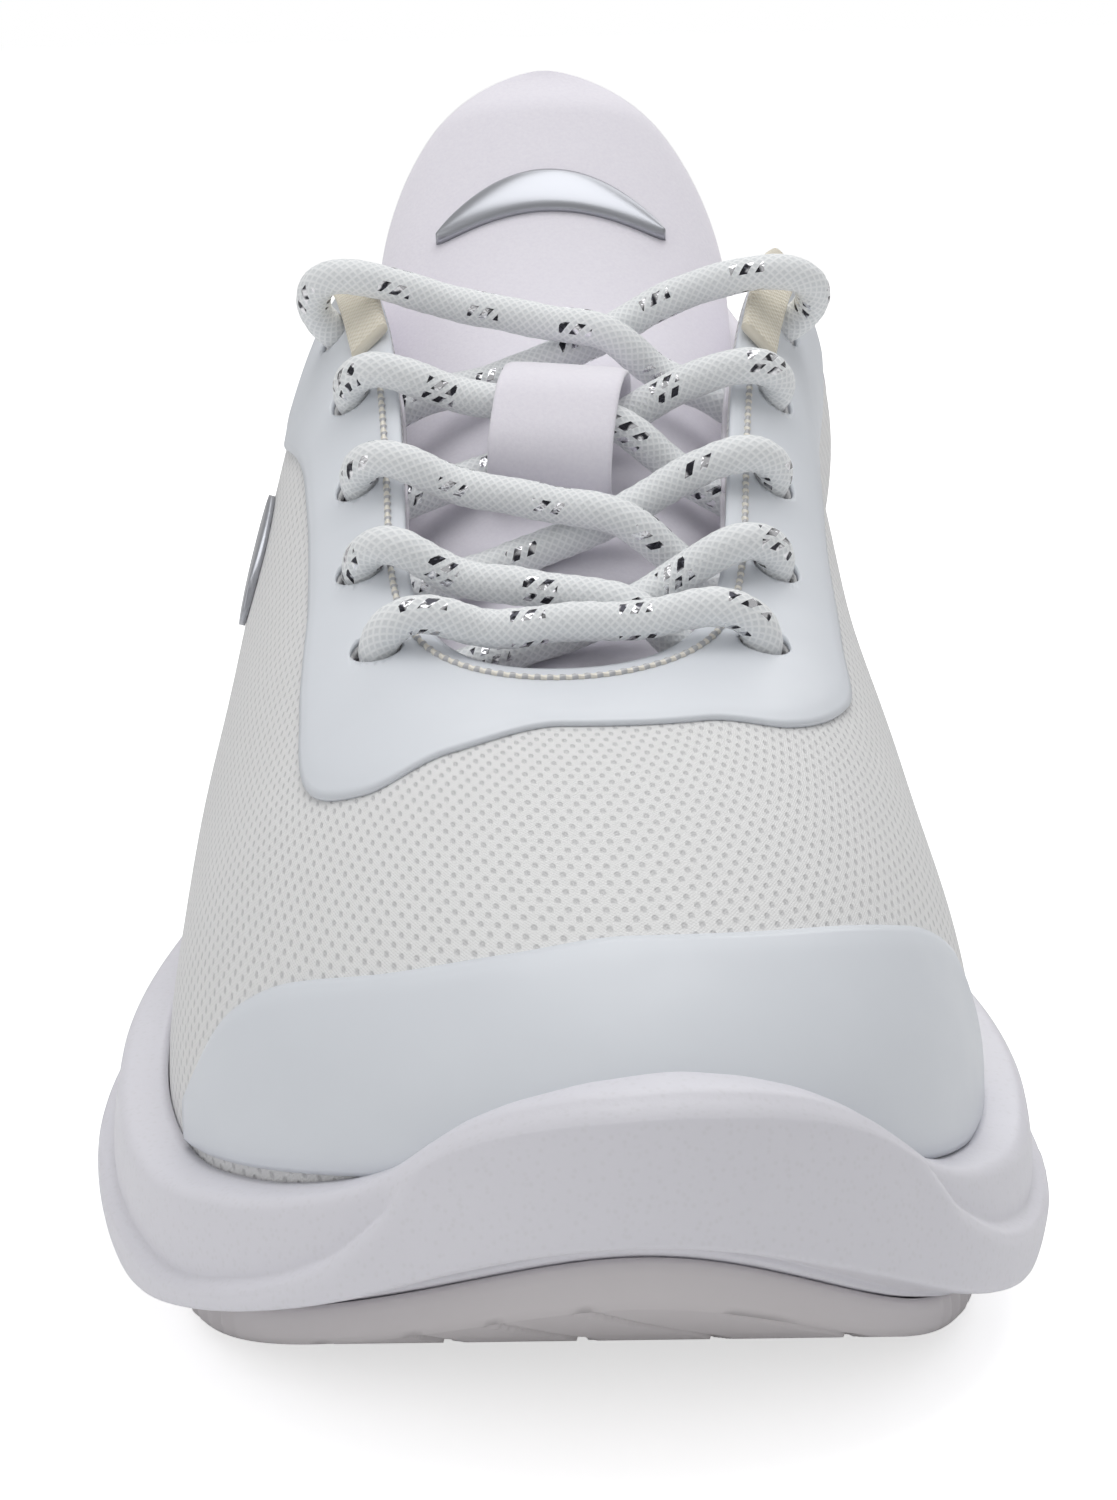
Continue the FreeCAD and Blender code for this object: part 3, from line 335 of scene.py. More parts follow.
def tube(name, line, radius, material, body, stands_for, sides=20, relief=None):
    """A round cord along a line; relief(distance, angle) raises its surface."""
    heading = unit(np.gradient(line, axis=0))
    side = np.zeros_like(line)
    current = unit(np.cross(heading[0], np.array([0.3, 0.2, 1.0])))
    for k, way in enumerate(heading):
        current = unit(current - way * (current @ way))
        side[k] = current
    across = np.cross(heading, side)
    distance = distance_along(line)
    angle = np.linspace(0, math.tau, sides, endpoint=False)
    reach = np.full((len(line), sides), radius)
    if relief:
        reach = reach + relief(distance[:, None], angle[None, :])
    taper = np.clip(np.minimum(distance, distance[-1] - distance) / radius, 0.02, 1.0)
    reach = reach * np.sqrt(1 - (1 - taper) ** 2)[:, None]
    rings = line[:, None] + side[:, None] * (np.cos(angle)[None, :] * reach)[..., None]
    rings = rings + across[:, None] * (np.sin(angle)[None, :] * reach)[..., None]
    points = rings.reshape(-1, 3)
    faces = grid_faces(len(line), sides, wrap_columns=True, flip=True)
    faces.append(tuple(range(sides)))
    last = (len(line) - 1) * sides
    faces.append(tuple(range(last + sides - 1, last - 1, -1)))
    measure = np.zeros(rings.shape)
    measure[..., 0] = distance[:, None]
    measure[..., 1] = np.cos(angle)[None, :]
    measure[..., 2] = np.sin(angle)[None, :]
    return add_mesh(name, points, faces, material, body, stands_for, measure.reshape(-1, 3))


def strap(name, line, side, width, thickness, material, body, stands_for, soft=0.0):
    """A webbing band of rounded section along a line, square to the side vector."""
    side = unit(np.asarray(side, float))
    heading = unit(np.gradient(line, axis=0))
    normal = unit(np.cross(heading, side[None, :]))
    section = []
    for k in range(20):
        angle = math.tau * k / 20
        x = np.sign(math.cos(angle)) * abs(math.cos(angle)) ** 0.35
        z = np.sign(math.sin(angle)) * abs(math.sin(angle)) ** 0.7
        section.append((x * width / 2, (z + 1) * thickness / 2))
    section = np.array(section)
    bow = soft * ripple(line, 9.0, 11)
    rings = line[:, None] + side[None, None, :] * section[None, :, 0, None]
    rings = rings + normal[:, None] * (section[None, :, 1, None] + bow[:, None, None])
    points = rings.reshape(-1, 3)
    count = len(section)
    faces = grid_faces(len(line), count, wrap_columns=True)
    faces.append(tuple(range(count - 1, -1, -1)))
    last = (len(line) - 1) * count
    faces.append(tuple(range(last, last + count)))
    distance = distance_along(line)
    measure = np.zeros(rings.shape)
    measure[..., 0] = distance[:, None]
    measure[..., 1] = section[None, :, 0]
    obj = add_mesh(name, points, faces, material, body, stands_for, measure.reshape(-1, 3))
    recalculate_normals(obj)
    return obj


def edit_mesh(obj, operate):
    """Runs an operation on an object's mesh and keeps it smooth."""
    work = bmesh.new()
    work.from_mesh(obj.data)
    operate(work)
    work.to_mesh(obj.data)
    work.free()
    obj.data.shade_smooth()


def recalculate_normals(obj):
    """Turns every face of a closed mesh outward."""
    edit_mesh(obj, lambda work: bmesh.ops.recalc_face_normals(work, faces=work.faces))


def merge_close(obj):
    """Joins points that fall on the same place."""
    edit_mesh(obj, lambda work: bmesh.ops.remove_doubles(work, verts=work.verts, dist=MERGE_DISTANCE * MM))


def apply_modifiers(obj):
    """Bakes an object's modifiers into its mesh."""
    graph = bpy.context.evaluated_depsgraph_get()
    mesh = bpy.data.meshes.new_from_object(obj.evaluated_get(graph))
    obj.modifiers.clear()
    old = obj.data
    obj.data = mesh
    bpy.data.meshes.remove(old)
    obj.data.shade_smooth()


# ---------------------------------------------------------------- materials
def linear(red, green, blue):
    """A display colour, 0 to 255, as the renderer's linear colour."""
    return tuple((c / 255.0) ** 2.2 for c in (red, green, blue)) + (1.0,)


class Finish:
    """A material under construction: small helpers round its node tree."""

    def __init__(self, name, colour, roughness, metallic=0.0, sheen=0.0, subsurface=0.0):
        self.material = bpy.data.materials.new(name)
        self.material.use_nodes = True
        self.tree = self.material.node_tree
        self.shader = self.tree.nodes["Principled BSDF"]
        self.shader.inputs["Base Color"].default_value = colour
        self.shader.inputs["Roughness"].default_value = roughness
        self.shader.inputs["Metallic"].default_value = metallic
        self.shader.inputs["Sheen Weight"].default_value = sheen
        self.shader.inputs["Sheen Roughness"].default_value = 0.4
        self.shader.inputs["Subsurface Weight"].default_value = subsurface
        self.shader.inputs["Subsurface Radius"].default_value = (0.004, 0.004, 0.004)
        self.bump = None

    def node(self, kind, **settings):
        """A new node with its settings."""
        made = self.tree.nodes.new(kind)
        for key, setting in settings.items():
            setattr(made, key, setting)
        return made

    def put(self, socket, source):
        """Feeds a socket from another socket or a plain number."""
        if hasattr(source, "is_linked"):
            self.tree.links.new(source, socket)
        else:
            socket.default_value = source

    def math(self, operation, first, second=0.0):
        """One sum of two sockets or numbers."""
        made = self.node("ShaderNodeMath", operation=operation)
        self.put(made.inputs[0], first)
        self.put(made.inputs[1], second)
        return made.outputs[0]

    def measure(self):
        """The three painted numbers of a piece, in millimetres or shares."""
        source = self.node("ShaderNodeAttribute", attribute_name="measure")
        split = self.node("ShaderNodeSeparateXYZ")
        self.put(split.inputs[0], source.outputs["Vector"])
        return split.outputs

    def place(self):
        """Position on the object, in metres."""
        return self.node("ShaderNodeTexCoord").outputs["Object"]

    def wave(self, source, pitch):
        """A sine that repeats every pitch."""
        return self.math("SINE", self.math("MULTIPLY", source, math.tau / pitch))

    def repeat(self, source, pitch):
        """How far a place is into its own repeat of a pattern."""
        return self.math("MODULO", self.math("ADD", source, FAR_BACK), pitch)

    def noise(self, scale, detail=3.0, roughness=0.5):
        """Cloudy noise over the object, in repeats a metre."""
        made = self.node("ShaderNodeTexNoise")
        self.put(made.inputs["Vector"], self.place())
        made.inputs["Scale"].default_value = scale
        made.inputs["Detail"].default_value = detail
        made.inputs["Roughness"].default_value = roughness
        return made.outputs[0]

    def speckle(self, scale):
        """Distance to the nearest of many scattered points."""
        made = self.node("ShaderNodeTexVoronoi")
        self.put(made.inputs["Vector"], self.place())
        made.inputs["Scale"].default_value = scale
        return made.outputs["Distance"]

    def remap(self, source, low, high, to_low=0.0, to_high=1.0):
        """Stretches low..high to another range and holds it there."""
        made = self.node("ShaderNodeMapRange")
        self.put(made.inputs[0], source)
        for socket, number in zip(made.inputs[1:5], (low, high, to_low, to_high)):
            socket.default_value = number
        return made.outputs[0]

    def blend_colour(self, share, first, second):
        """First where the share is 0 and second where it is 1."""
        made = self.node("ShaderNodeMix", data_type="RGBA")
        self.put(made.inputs["Factor"], share)
        self.put(made.inputs[6], first)
        self.put(made.inputs[7], second)
        return made.outputs[2]

    def add_bump(self, height, strength, distance_mm):
        """Adds fine relief on top of any added before."""
        made = self.node("ShaderNodeBump")
        made.inputs["Strength"].default_value = strength
        made.inputs["Distance"].default_value = distance_mm * MM
        self.put(made.inputs["Height"], height)
        if self.bump is not None:
            self.put(made.inputs["Normal"], self.bump)
        self.bump = made.outputs[0]
        self.put(self.shader.inputs["Normal"], self.bump)

    def colour(self, source):
        """Sets the base colour from a socket."""
        self.put(self.shader.inputs["Base Color"], source)

    def roughness(self, source):
        """Sets the roughness from a socket."""
        self.put(self.shader.inputs["Roughness"], source)


WHITE_FILM = linear(226, 230, 236)
WHITE_KNIT = linear(232, 232, 232)
LAVENDER = linear(238, 235, 243)
FOAM_WHITE = linear(226, 225, 232)
RUBBER_WHITE = linear(214, 210, 212)
CREAM = linear(238, 230, 212)

# Pattern sizes in millimetres: the knit's holes and threads, the lace's braid, and its flecks.
HOLE_ALONG, HOLE_ACROSS = 1.7, 2.5
THREAD_ALONG, THREAD_ACROSS = 0.5, 0.42
BRAID_RADIUS, STRAND_PITCH = 2.1, 1.0
FLECK_GROUP, FLECK_PITCH, FLECK_SPREAD = 11.5, 1.9, 3.9
# Added before a pattern is repeated, so that places behind zero repeat too.
FAR_BACK = 400.0


def knit_material():
    """White knit: glossy fine threads and staggered lozenge holes, the holes painted darker as shade."""
    finish = Finish("knit_mesh", WHITE_KNIT, 0.62, sheen=0.25)
    along_cloth, across_cloth, _ = finish.measure()
    wave_along = finish.math("COSINE", finish.math("MULTIPLY", along_cloth, math.tau / HOLE_ALONG))
    wave_across = finish.math("COSINE", finish.math("MULTIPLY", across_cloth, math.tau / HOLE_ACROSS))
    hole = finish.remap(finish.math("MULTIPLY", wave_along, wave_across), 0.35, 0.85)
    weave = finish.math(
        "MULTIPLY", finish.wave(across_cloth, THREAD_ACROSS), finish.wave(along_cloth, THREAD_ALONG)
    )
    height = finish.math("SUBTRACT", finish.math("MULTIPLY", weave, 0.18), hole)
    finish.add_bump(height, 0.6, 0.2)
    finish.add_bump(finish.noise(900.0, 2.0), 0.25, 0.12)
    # The holes are painted a darker grey: painted shade in the knit's recesses.
    finish.colour(finish.blend_colour(hole, WHITE_KNIT, linear(204, 204, 205)))
    finish.roughness(finish.remap(weave, -1.0, 1.0, 0.72, 0.48))
    return finish.material


def film_material():
    """Cool white satin film."""
    finish = Finish("film", WHITE_FILM, 0.42)
    finish.add_bump(finish.noise(1400.0, 2.0), 0.12, 0.06)
    finish.add_bump(finish.noise(90.0, 3.0), 0.12, 0.5)
    finish.roughness(finish.remap(finish.noise(220.0), 0.3, 0.7, 0.36, 0.5))
    finish.colour(finish.blend_colour(finish.noise(60.0), WHITE_FILM, linear(219, 223, 229)))
    return finish.material


def foam_material():
    """Satin moulded foam with a fine speckle."""
    finish = Finish("midsole_foam", FOAM_WHITE, 0.4, subsurface=0.08)
    finish.add_bump(finish.noise(1500.0, 2.0, roughness=0.7), 0.3, 0.1)
    dots = finish.remap(finish.speckle(1300.0), 0.1, 0.4)
    finish.colour(finish.blend_colour(dots, linear(222, 221, 227), FOAM_WHITE))
    finish.roughness(finish.remap(finish.noise(500.0), 0.3, 0.7, 0.36, 0.48))
    return finish.material


def rubber_material():
    """Matt white rubber."""
    finish = Finish("outsole_rubber", RUBBER_WHITE, 0.55)
    finish.add_bump(finish.noise(900.0, 3.0), 0.2, 0.1)
    finish.colour(finish.blend_colour(finish.noise(35.0), RUBBER_WHITE, linear(206, 201, 202)))
    return finish.material


def microfibre_material():
    """Smooth lavender-white microfibre with a soft nap, painted lighter on the raised nap and darker in its
    hollows as shade.
    """
    finish = Finish("microfibre", LAVENDER, 0.78, sheen=0.5, subsurface=0.04)
    nap = finish.noise(2200.0, 2.0, roughness=0.6)
    finish.add_bump(nap, 0.35, 0.08)
    finish.add_bump(finish.noise(160.0, 3.0), 0.15, 0.5)
    # The colour follows the nap's relief: painted shade in its hollows, lighter on its raised fibres.
    finish.colour(finish.blend_colour(nap, linear(231, 227, 237), linear(243, 240, 247)))
    return finish.material


def lining_material():
    """Brushed lining cloth."""
    finish = Finish("lining_cloth", linear(232, 228, 236), 0.85, sheen=0.4)
    finish.add_bump(finish.noise(1300.0, 3.0), 0.4, 0.15)
    return finish.material


def padding_material():
    """Open-cell foam, seen only at cut edges."""
    finish = Finish("padding_foam", linear(238, 234, 220), 0.9)
    finish.add_bump(finish.speckle(1500.0), 0.4, 0.2)
    return finish.material


def fleck_mask(finish, distance, around):
    """1 on the lace's flecks: leaning cells, kept in one short stretch of each group."""
    leaning = finish.math("ADD", distance, finish.math("MULTIPLY", around, 0.7))
    limits = (
        (leaning, FLECK_PITCH, 0.52),
        (around, FLECK_SPREAD, 0.36),
        (distance, FLECK_GROUP, 0.34),
    )
    mask = 1.0
    for source, pitch, share in limits:
        inside = finish.math("LESS_THAN", finish.repeat(source, pitch), pitch * share)
        mask = finish.math("MULTIPLY", inside, mask)
    return mask


def braid_material():
    """White round braid with groups of small mirror flecks along it; painted shade between its strands, and
    painted reflections on its flecks.
    """
    finish = Finish("braid", linear(240, 242, 243), 0.6, sheen=0.35)
    distance, cosine, sine = finish.measure()
    around = finish.math("MULTIPLY", finish.math("ARCTAN2", sine, cosine), BRAID_RADIUS)
    strands = [finish.wave(finish.math(lean, around, distance), STRAND_PITCH) for lean in ("ADD", "SUBTRACT")]
    plait = finish.math("MAXIMUM", *strands)
    finish.add_bump(plait, 0.35, 0.08)
    finish.add_bump(finish.noise(1800.0, 2.0), 0.3, 0.06)
    fleck = fleck_mask(finish, distance, around)
    finish.put(finish.shader.inputs["Metallic"], finish.math("MULTIPLY", fleck, 0.9))
    finish.roughness(finish.remap(fleck, 0.0, 1.0, 0.6, 0.12))
    # The mirror flecks are painted dark grey in some patches and bright white in others: painted reflections.
    painted_reflection_share = finish.remap(finish.noise(900.0, 0.0), 0.44, 0.56)
    mirror = finish.blend_colour(painted_reflection_share, linear(60, 60, 66), linear(235, 235, 238))
    # The strands' ridges are painted lighter and the gaps between them darker: painted shade.
    thread = finish.blend_colour(finish.remap(plait, 0.0, 1.0), linear(226, 229, 231), linear(246, 248, 249))
    finish.colour(finish.blend_colour(fleck, thread, mirror))
    return finish.material


def webbing_material():
    """Cream ribbed webbing, painted darker in the weave's hollows and lighter on its ribs, as shade."""
    finish = Finish("webbing", CREAM, 0.75, sheen=0.3)
    distance, across, _ = finish.measure()
    weave = finish.math("MULTIPLY", finish.wave(distance, 0.75), finish.wave(across, 0.9))
    finish.add_bump(weave, 0.6, 0.18)
    finish.add_bump(finish.noise(1200.0), 0.3, 0.1)
    # Colour follows the weave's relief: painted shade in its hollows, lighter on its ribs.
    painted_weave_shade = finish.remap(weave, -1.0, 1.0)
    finish.colour(finish.blend_colour(painted_weave_shade, linear(222, 213, 192), linear(246, 240, 226)))
    return finish.material


def silver_material():
    """Satin silver transfer."""
    finish = Finish("silver", linear(176, 178, 184), 0.3, metallic=0.75)
    finish.add_bump(finish.noise(500.0), 0.1, 0.1)
    return finish.material


def thread_material():
    """Silver and cream twisted cord."""
    finish = Finish("thread", linear(214, 211, 204), 0.45, metallic=0.2)
    twist = finish.remap(finish.wave(finish.measure()[0], 1.3), -0.3, 0.3)
    finish.colour(finish.blend_colour(twist, linear(190, 190, 192), linear(236, 231, 220)))
    return finish.material


def plain_material(name, colour, roughness):
    """A plain finish with a faint grain."""
    finish = Finish(name, colour, roughness)
    finish.add_bump(finish.noise(800.0), 0.15, 0.1)
    return finish.material


def clear_tip_material():
    """Clear plastic of the lace's tips."""
    finish = Finish("clear_tip", linear(232, 232, 236), 0.15)
    finish.add_bump(finish.noise(300.0), 0.1, 0.1)
    finish.shader.inputs["Transmission Weight"].default_value = 0.4
    return finish.material


MATERIALS = {
    "knit_mesh": knit_material(),
    "film": film_material(),
    "midsole_foam": foam_material(),
    "outsole_rubber": rubber_material(),
    "microfibre": microfibre_material(),
    "lining_cloth": lining_material(),
    "padding_foam": padding_material(),
    "braid": braid_material(),
    "webbing": webbing_material(),
    "silver": silver_material(),
    "thread": thread_material(),
    "stiffener": plain_material("stiffener", linear(226, 226, 222), 0.6),
    "board_fibre": plain_material("board_fibre", linear(226, 221, 205), 0.8),
    "sockliner_foam": plain_material("sockliner_foam", linear(233, 233, 236), 0.8),
    "clear_tip": clear_tip_material(),
}


# ---------------------------------------------------------------- the upper's layers
GAP, FILM_THICK, MESH_THICK = 0.3, 0.5, 1.0
FILM_TOP = GAP + FILM_THICK
LINING_TOP, LINING_BOTTOM = -2.3, -3.0
EYELET_LINE, EYELET_RADIUS = 0.85, 2.9
EYELET_FIRST, EYELET_PITCH, EYELET_ROWS = 6.5, 15.0, 5
MEDIAL, LATERAL = 1, -1

eyestay_edge = table(
    [(4.5, 0.84), (4.75, 0.66), (5.1, 0.60), (5.7, 0.66), (6.7, 0.665), (7.0, 0.645), (7.3, 0.665)]
    + [(7.8, 0.71), (8.3, 0.785), (9.1, 0.82), (9.75, 0.725), (10.25, 0.605), (10.6, 0.57), (11.0, 0.64)]
    + [(11.5, 0.70), (12.2, 0.70), (12.9, 0.65), (13.25, 0.68), (13.5, 0.84)]
)
toe_overlay_edge = table(
    [(6.85, 0.12), (7.2, 0.31), (7.65, 0.378), (8.3, 0.41), (9.0, 0.42), (9.5, 0.39), (10.0, 0.352)]
    + [(10.5, 0.318), (10.85, 0.258), (11.2, 0.12)]
)
heel_overlay_edge = table([(-1.7, 0.22), (-1.0, 0.45), (0.0, 0.62), (1.0, 0.45), (1.7, 0.22)])
quarter_top = table(
    [(2.3, 0.42), (4.7, 0.42), (5.25, 0.5), (5.6, 0.93), (6.0, 0.98), (6.42, 0.98), (9.0, 0.98)]
    + [(11.58, 0.98), (12.0, 0.98), (12.4, 0.93), (12.75, 0.5), (13.3, 0.42), (15.7, 0.42)]
)


def as_function(setting):
    """A setting as a function of place, when it may be a plain number."""
    return setting if callable(setting) else (lambda place: np.full(np.shape(place), float(setting)))


def patch_grid(stations, low, high, offset, columns, rows):
    """Points of a patch of the upper at an offset, which may depend on the share up it."""
    u = np.linspace(stations[0], stations[1], columns)
    share = np.linspace(0, 1, rows)
    bottom, top = as_function(low)(u), as_function(high)(u)
    v = bottom[:, None] + (top - bottom)[:, None] * share[None, :]
    depth = as_function(offset)(share)
    return upper_point(u[:, None], v, np.broadcast_to(depth[None, :], v.shape))


def layer(name, stations, low, high, outer, inner, columns, rows, material):
    """A sheet of the upper as a closed mesh."""
    grids = [patch_grid(stations, low, high, offset, columns, rows) for offset in (outer, inner)]
    return slab(name, grids[0], grids[1], MATERIALS[material], "shoe", [name], flip=True)


def film_layer(name, stations, low, high, columns, rows, bevel_rows=3):
    """A bonded film whose edges thin out to nothing sharp."""

    def top(share):
        edge = np.minimum(share, 1 - share) * rows / bevel_rows
        return GAP + FILM_THICK * (0.45 + 0.55 * smoothstep(edge))

    return layer(name, stations, low, high, top, 0.05, columns, rows, "film")


def station_on(side, u):
    """A medial station, or the lateral one that faces it."""
    return u if side == MEDIAL else STATIONS - u


def eyelet_station(side, row):
    """The station of an eyelet, found by halving the stretch it lies in."""
    target = EYELET_FIRST - EYELET_PITCH * row + THROAT_SKEW * THROAT_HALF * side
    near, far = station_on(side, 4.8), station_on(side, 8.6)
    for _ in range(30):
        middle = (near + far) / 2
        if wall_point(middle, EYELET_LINE)[1] > target:
            near = middle
        else:
            far = middle
    return near


EYELETS = {side: [eyelet_station(side, row) for row in range(EYELET_ROWS)] for side in (MEDIAL, LATERAL)}


def top_station(side):
    """The top eyelet's station, counted from the heel along its own side."""
    return station_on(side, EYELETS[side][0])


def eyelet(side, row):
    """Centre and outward direction of an eyelet."""
    u = EYELETS[side][row]
    return wall_point(u, EYELET_LINE), wall_frame(u, EYELET_LINE)[2]


def eyelet_cutter():
    """One mesh of ten punches, square to the wall."""
    points, faces = [], []
    sides = 32
    for side in (MEDIAL, LATERAL):
        for row in range(EYELET_ROWS):
            centre, outward = eyelet(side, row)
            first = unit(np.cross(outward, np.array([0.0, 0.0, 1.0])))
            second = np.cross(outward, first)
            start = len(points)
            for reach in (-5.0, 4.0):
                for angle in np.linspace(0, math.tau, sides, endpoint=False):
                    spoke = first * math.cos(angle) + second * math.sin(angle)
                    points.append(centre + outward * reach + spoke * EYELET_RADIUS)
            faces += grid_faces(2, sides, start, wrap_columns=True)
            faces.append(tuple(range(start, start + sides)))
            faces.append(tuple(range(start + 2 * sides - 1, start + sides - 1, -1)))
    mesh = bpy.data.meshes.new("eyelet_cutter")
    mesh.from_pydata([tuple(point * MM) for point in points], [], faces)
    obj = bpy.data.objects.new("eyelet_cutter", mesh)
    bpy.context.scene.collection.objects.link(obj)
    recalculate_normals(obj)
    return obj


def punch(obj, cutter):
    """Cuts the eyelets through a layer, and paints its new points as their neighbours were."""
    marks = [tuple(mark.vector) for mark in obj.data.attributes["measure"].data]
    tree = KDTree(len(marks))
    for k, vertex in enumerate(obj.data.vertices):
        tree.insert(vertex.co, k)
    tree.balance()
    modifier = obj.modifiers.new("eyelets", "BOOLEAN")
    modifier.operation = "DIFFERENCE"
    modifier.solver = "EXACT"
    modifier.object = cutter
    apply_modifiers(obj)
    mesh = obj.data
    if "measure" in mesh.attributes:
        mesh.attributes.remove(mesh.attributes["measure"])
    painted = mesh.attributes.new("measure", "FLOAT_VECTOR", "POINT")
    for vertex, mark in zip(mesh.vertices, painted.data):
        mark.vector = marks[tree.find(vertex.co)[1]]


def lining(name, stations, top, columns, rows):
    """A panel of the lining cloth."""
    return layer(name, stations, 0.03, top, LINING_TOP, LINING_BOTTOM, columns, rows, "lining_cloth")


def make_upper():
    """Mesh, overlays and linings of the upper."""
    around = (0.02, STATIONS - 0.02)
    punched = [
        layer("mesh_upper", around, 0.02, 0.99, 0.0, -MESH_THICK, 520, 84, "knit_mesh"),
        film_layer("eyestay_overlay", (4.5, 13.5), eyestay_edge, 0.998, 300, 30),
        lining("vamp_lining", (6.45, 11.55), 0.985, 120, 50),
        lining("quarter_lining_medial", (2.3, 6.43), quarter_top, 100, 40),
        lining("quarter_lining_lateral", (11.57, 15.7), quarter_top, 100, 40),
    ]
    cutter = eyelet_cutter()
    for obj in punched:
        punch(obj, cutter)
    bpy.data.objects.remove(cutter)
    film_layer("toe_overlay", (6.85, 11.2), 0.06, toe_overlay_edge, 160, 34)
    film_layer("heel_overlay", (-1.7, 1.7), 0.10, heel_overlay_edge, 90, 34)
    lining("heel_lining", (-2.28, 2.28), 0.42, 70, 24)


# The plain drop on the lateral side: its two ends and the height of its middle.
EMBLEM_ENDS, EMBLEM_LINE = (12.5, 13.3), 0.52


def make_side_emblem():
    """A plain long drop on the lateral side."""
    columns, rows = 60, 16
    u = np.linspace(*EMBLEM_ENDS, columns)[:, None]
    share = np.linspace(0, 1, columns)[:, None]
    across = np.linspace(-1, 1, rows)[None, :]
    half = 0.006 + 0.11 * np.sqrt(share * (1 - share)) * (1.5 - 0.8 * share)
    v = EMBLEM_LINE + half * across
    crown = 0.45 + 0.55 * np.sqrt(1 - 0.9 * across**2)
    top = upper_point(u, v, np.broadcast_to(0.35 + 0.7 * crown, v.shape))
    bottom = upper_point(u, v, np.full(v.shape, 0.05))
    slab("side_emblem", top, bottom, MATERIALS["silver"], "shoe", ["side_emblem"], flip=True)


# The collar's roll: height on the wall and offset, from inside up over the edge to outside.
COLLAR_ROLL = [(0.44, -2.0), (0.50, -3.4), (0.58, -5.0), (0.68, -6.2), (0.78, -6.8), (0.88, -6.3)]
COLLAR_ROLL += [(0.95, -5.0), (0.99, -3.3), (1.012, -1.6), (1.005, -0.3), (0.985, 0.25), (0.965, 0.3)]
WALL_LENGTH, COLLAR_FRONT, COLLAR_SKIN = 60.0, 5.22, -1.6


def make_collar():
    """The padded collar: its lining rolls over the top edge and down inside."""
    line = spline([(v * WALL_LENGTH, offset, 0.0) for v, offset in COLLAR_ROLL], 1.4)
    v, offset = line[:, 0] / WALL_LENGTH, line[:, 1]
    u = np.linspace(-COLLAR_FRONT, COLLAR_FRONT, 230)[:, None]
    size = (len(u), len(v))
    # The padding puckers slightly between its seams and thins out towards its front ends.
    seams = np.sin(np.clip((v - 0.44) / 0.5, 0, 1) * math.pi)[None, :]
    pucker = 0.35 * np.sin(u * 9.0) * seams
    ends = smoothstep((COLLAR_FRONT - np.abs(u)) / 0.35)
    fullness = 0.35 + 0.65 * ends
    outer_depth = COLLAR_SKIN + (offset[None, :] - COLLAR_SKIN) * fullness + pucker * ends
    core = np.clip(offset + 0.7, -6.0, -1.4)
    inner_depth = COLLAR_SKIN + (core[None, :] - COLLAR_SKIN) * fullness
    outer = upper_point(u, np.broadcast_to(v, size), outer_depth)
    inner = upper_point(u, np.broadcast_to(np.clip(v, 0.46, 0.985), size), inner_depth)
    cloth = MATERIALS["lining_cloth"]
    slab("collar_lining", outer, inner, cloth, "shoe", ["collar_lining", "collar_foam"])


# ---------------------------------------------------------------- sole
RIM = table(
    [(0, 34.0), (2, 33.0), (3, 29.5), (4, 26.0), (5, 25.0), (6, 24.0), (6.6, 21.5), (7.1, 19.5), (7.5, 21.5)]
    + [(7.79, 25.0), (7.93, 28.3), (8.05, 31.0), (8.19, 33.4), (8.38, 35.5), (8.65, 37.0), (8.95, 37.6)]
    + [(9.3, 37.1), (9.6, 35.6), (9.8, 33.5), (9.94, 30.9), (10.1, 27.4), (10.35, 24.2), (10.7, 21.3)]
    + [(11.15, 19.4), (11.6, 20.5), (12, 23.0), (13, 25.0), (14, 26.0), (15, 29.5), (16, 33.0), (18, 34.0)]
)
OUTSOLE_THICK, OUTSOLE_INSET = 3.5, 7.5
# Where each end's roll starts along the shoe, how far it rises, and how long it runs.
TOE_ROLL = (-76.0, 21.0, 48.0)
HEEL_ROLL = (118.0, 5.0, 16.0)
FOAM_FOOT = OUTSOLE_THICK + 0.2
RIM_ROUND = 1.6


def ground_height(y, lift=0.0):
    """The underside's line: flat, with an arc up at the toe and at the heel."""
    y = np.asarray(y, float)
    height = np.full(y.shape, lift)
    for start, rise, run in (TOE_ROLL, HEEL_ROLL):
        way = -1.0 if start < 0 else 1.0
        radius = (run**2 + rise**2) / (2 * rise)
        past = np.clip((y - start) * way, 0.0, (radius - lift) * 0.97)
        arc = radius - np.sqrt((radius - lift) ** 2 - past**2)
        height = np.where(past > 0, arc, height)
    return height


def flat_outline(u, inset):
    """A point of the sole's outline, moved inwards by inset."""
    ring, _ = outline_ring(0.0)
    centre = along(ring, u)
    tangent = unit(along(ring, np.add(u, 1e-3)) - along(ring, np.subtract(u, 1e-3)))
    outward = np.stack([-tangent[..., 1], tangent[..., 0]], axis=-1)
    return centre - outward * np.asarray(inset)[..., None]


def spine_point(u, inset):
    """The point of the sole's middle that faces a station."""
    half = np.clip(np.minimum(u % STATIONS, STATIONS - u % STATIONS), 1.2, 7.7)
    return (flat_outline(half, inset) + flat_outline(STATIONS - half, inset)) / 2


midsole_side = table(
    [(0.0, 6.3), (4.0, 2.8), (9.0, 0.9), (14.0, 0.4), (22.0, 1.5), (30.0, 3.4), (38.0, 5.2), (44.0, 6.6)]
)

# The sculpted step in the midsole's side: its height at stations round the shoe.
step_line = table(
    [(0, 21.0), (2, 19.0), (4, 16.0), (6, 14.0), (6.6, 11.5), (7.1, 12.0), (7.5, 15.0), (7.8, 21.0)]
    + [(8.0, 28.0), (9.9, 29.0), (10.05, 24.0), (10.25, 18.5), (10.6, 13.5), (11.0, 10.5), (11.5, 11.5)]
    + [(12, 14.0), (14, 16.0), (16, 19.0), (18, 21.0)]
)


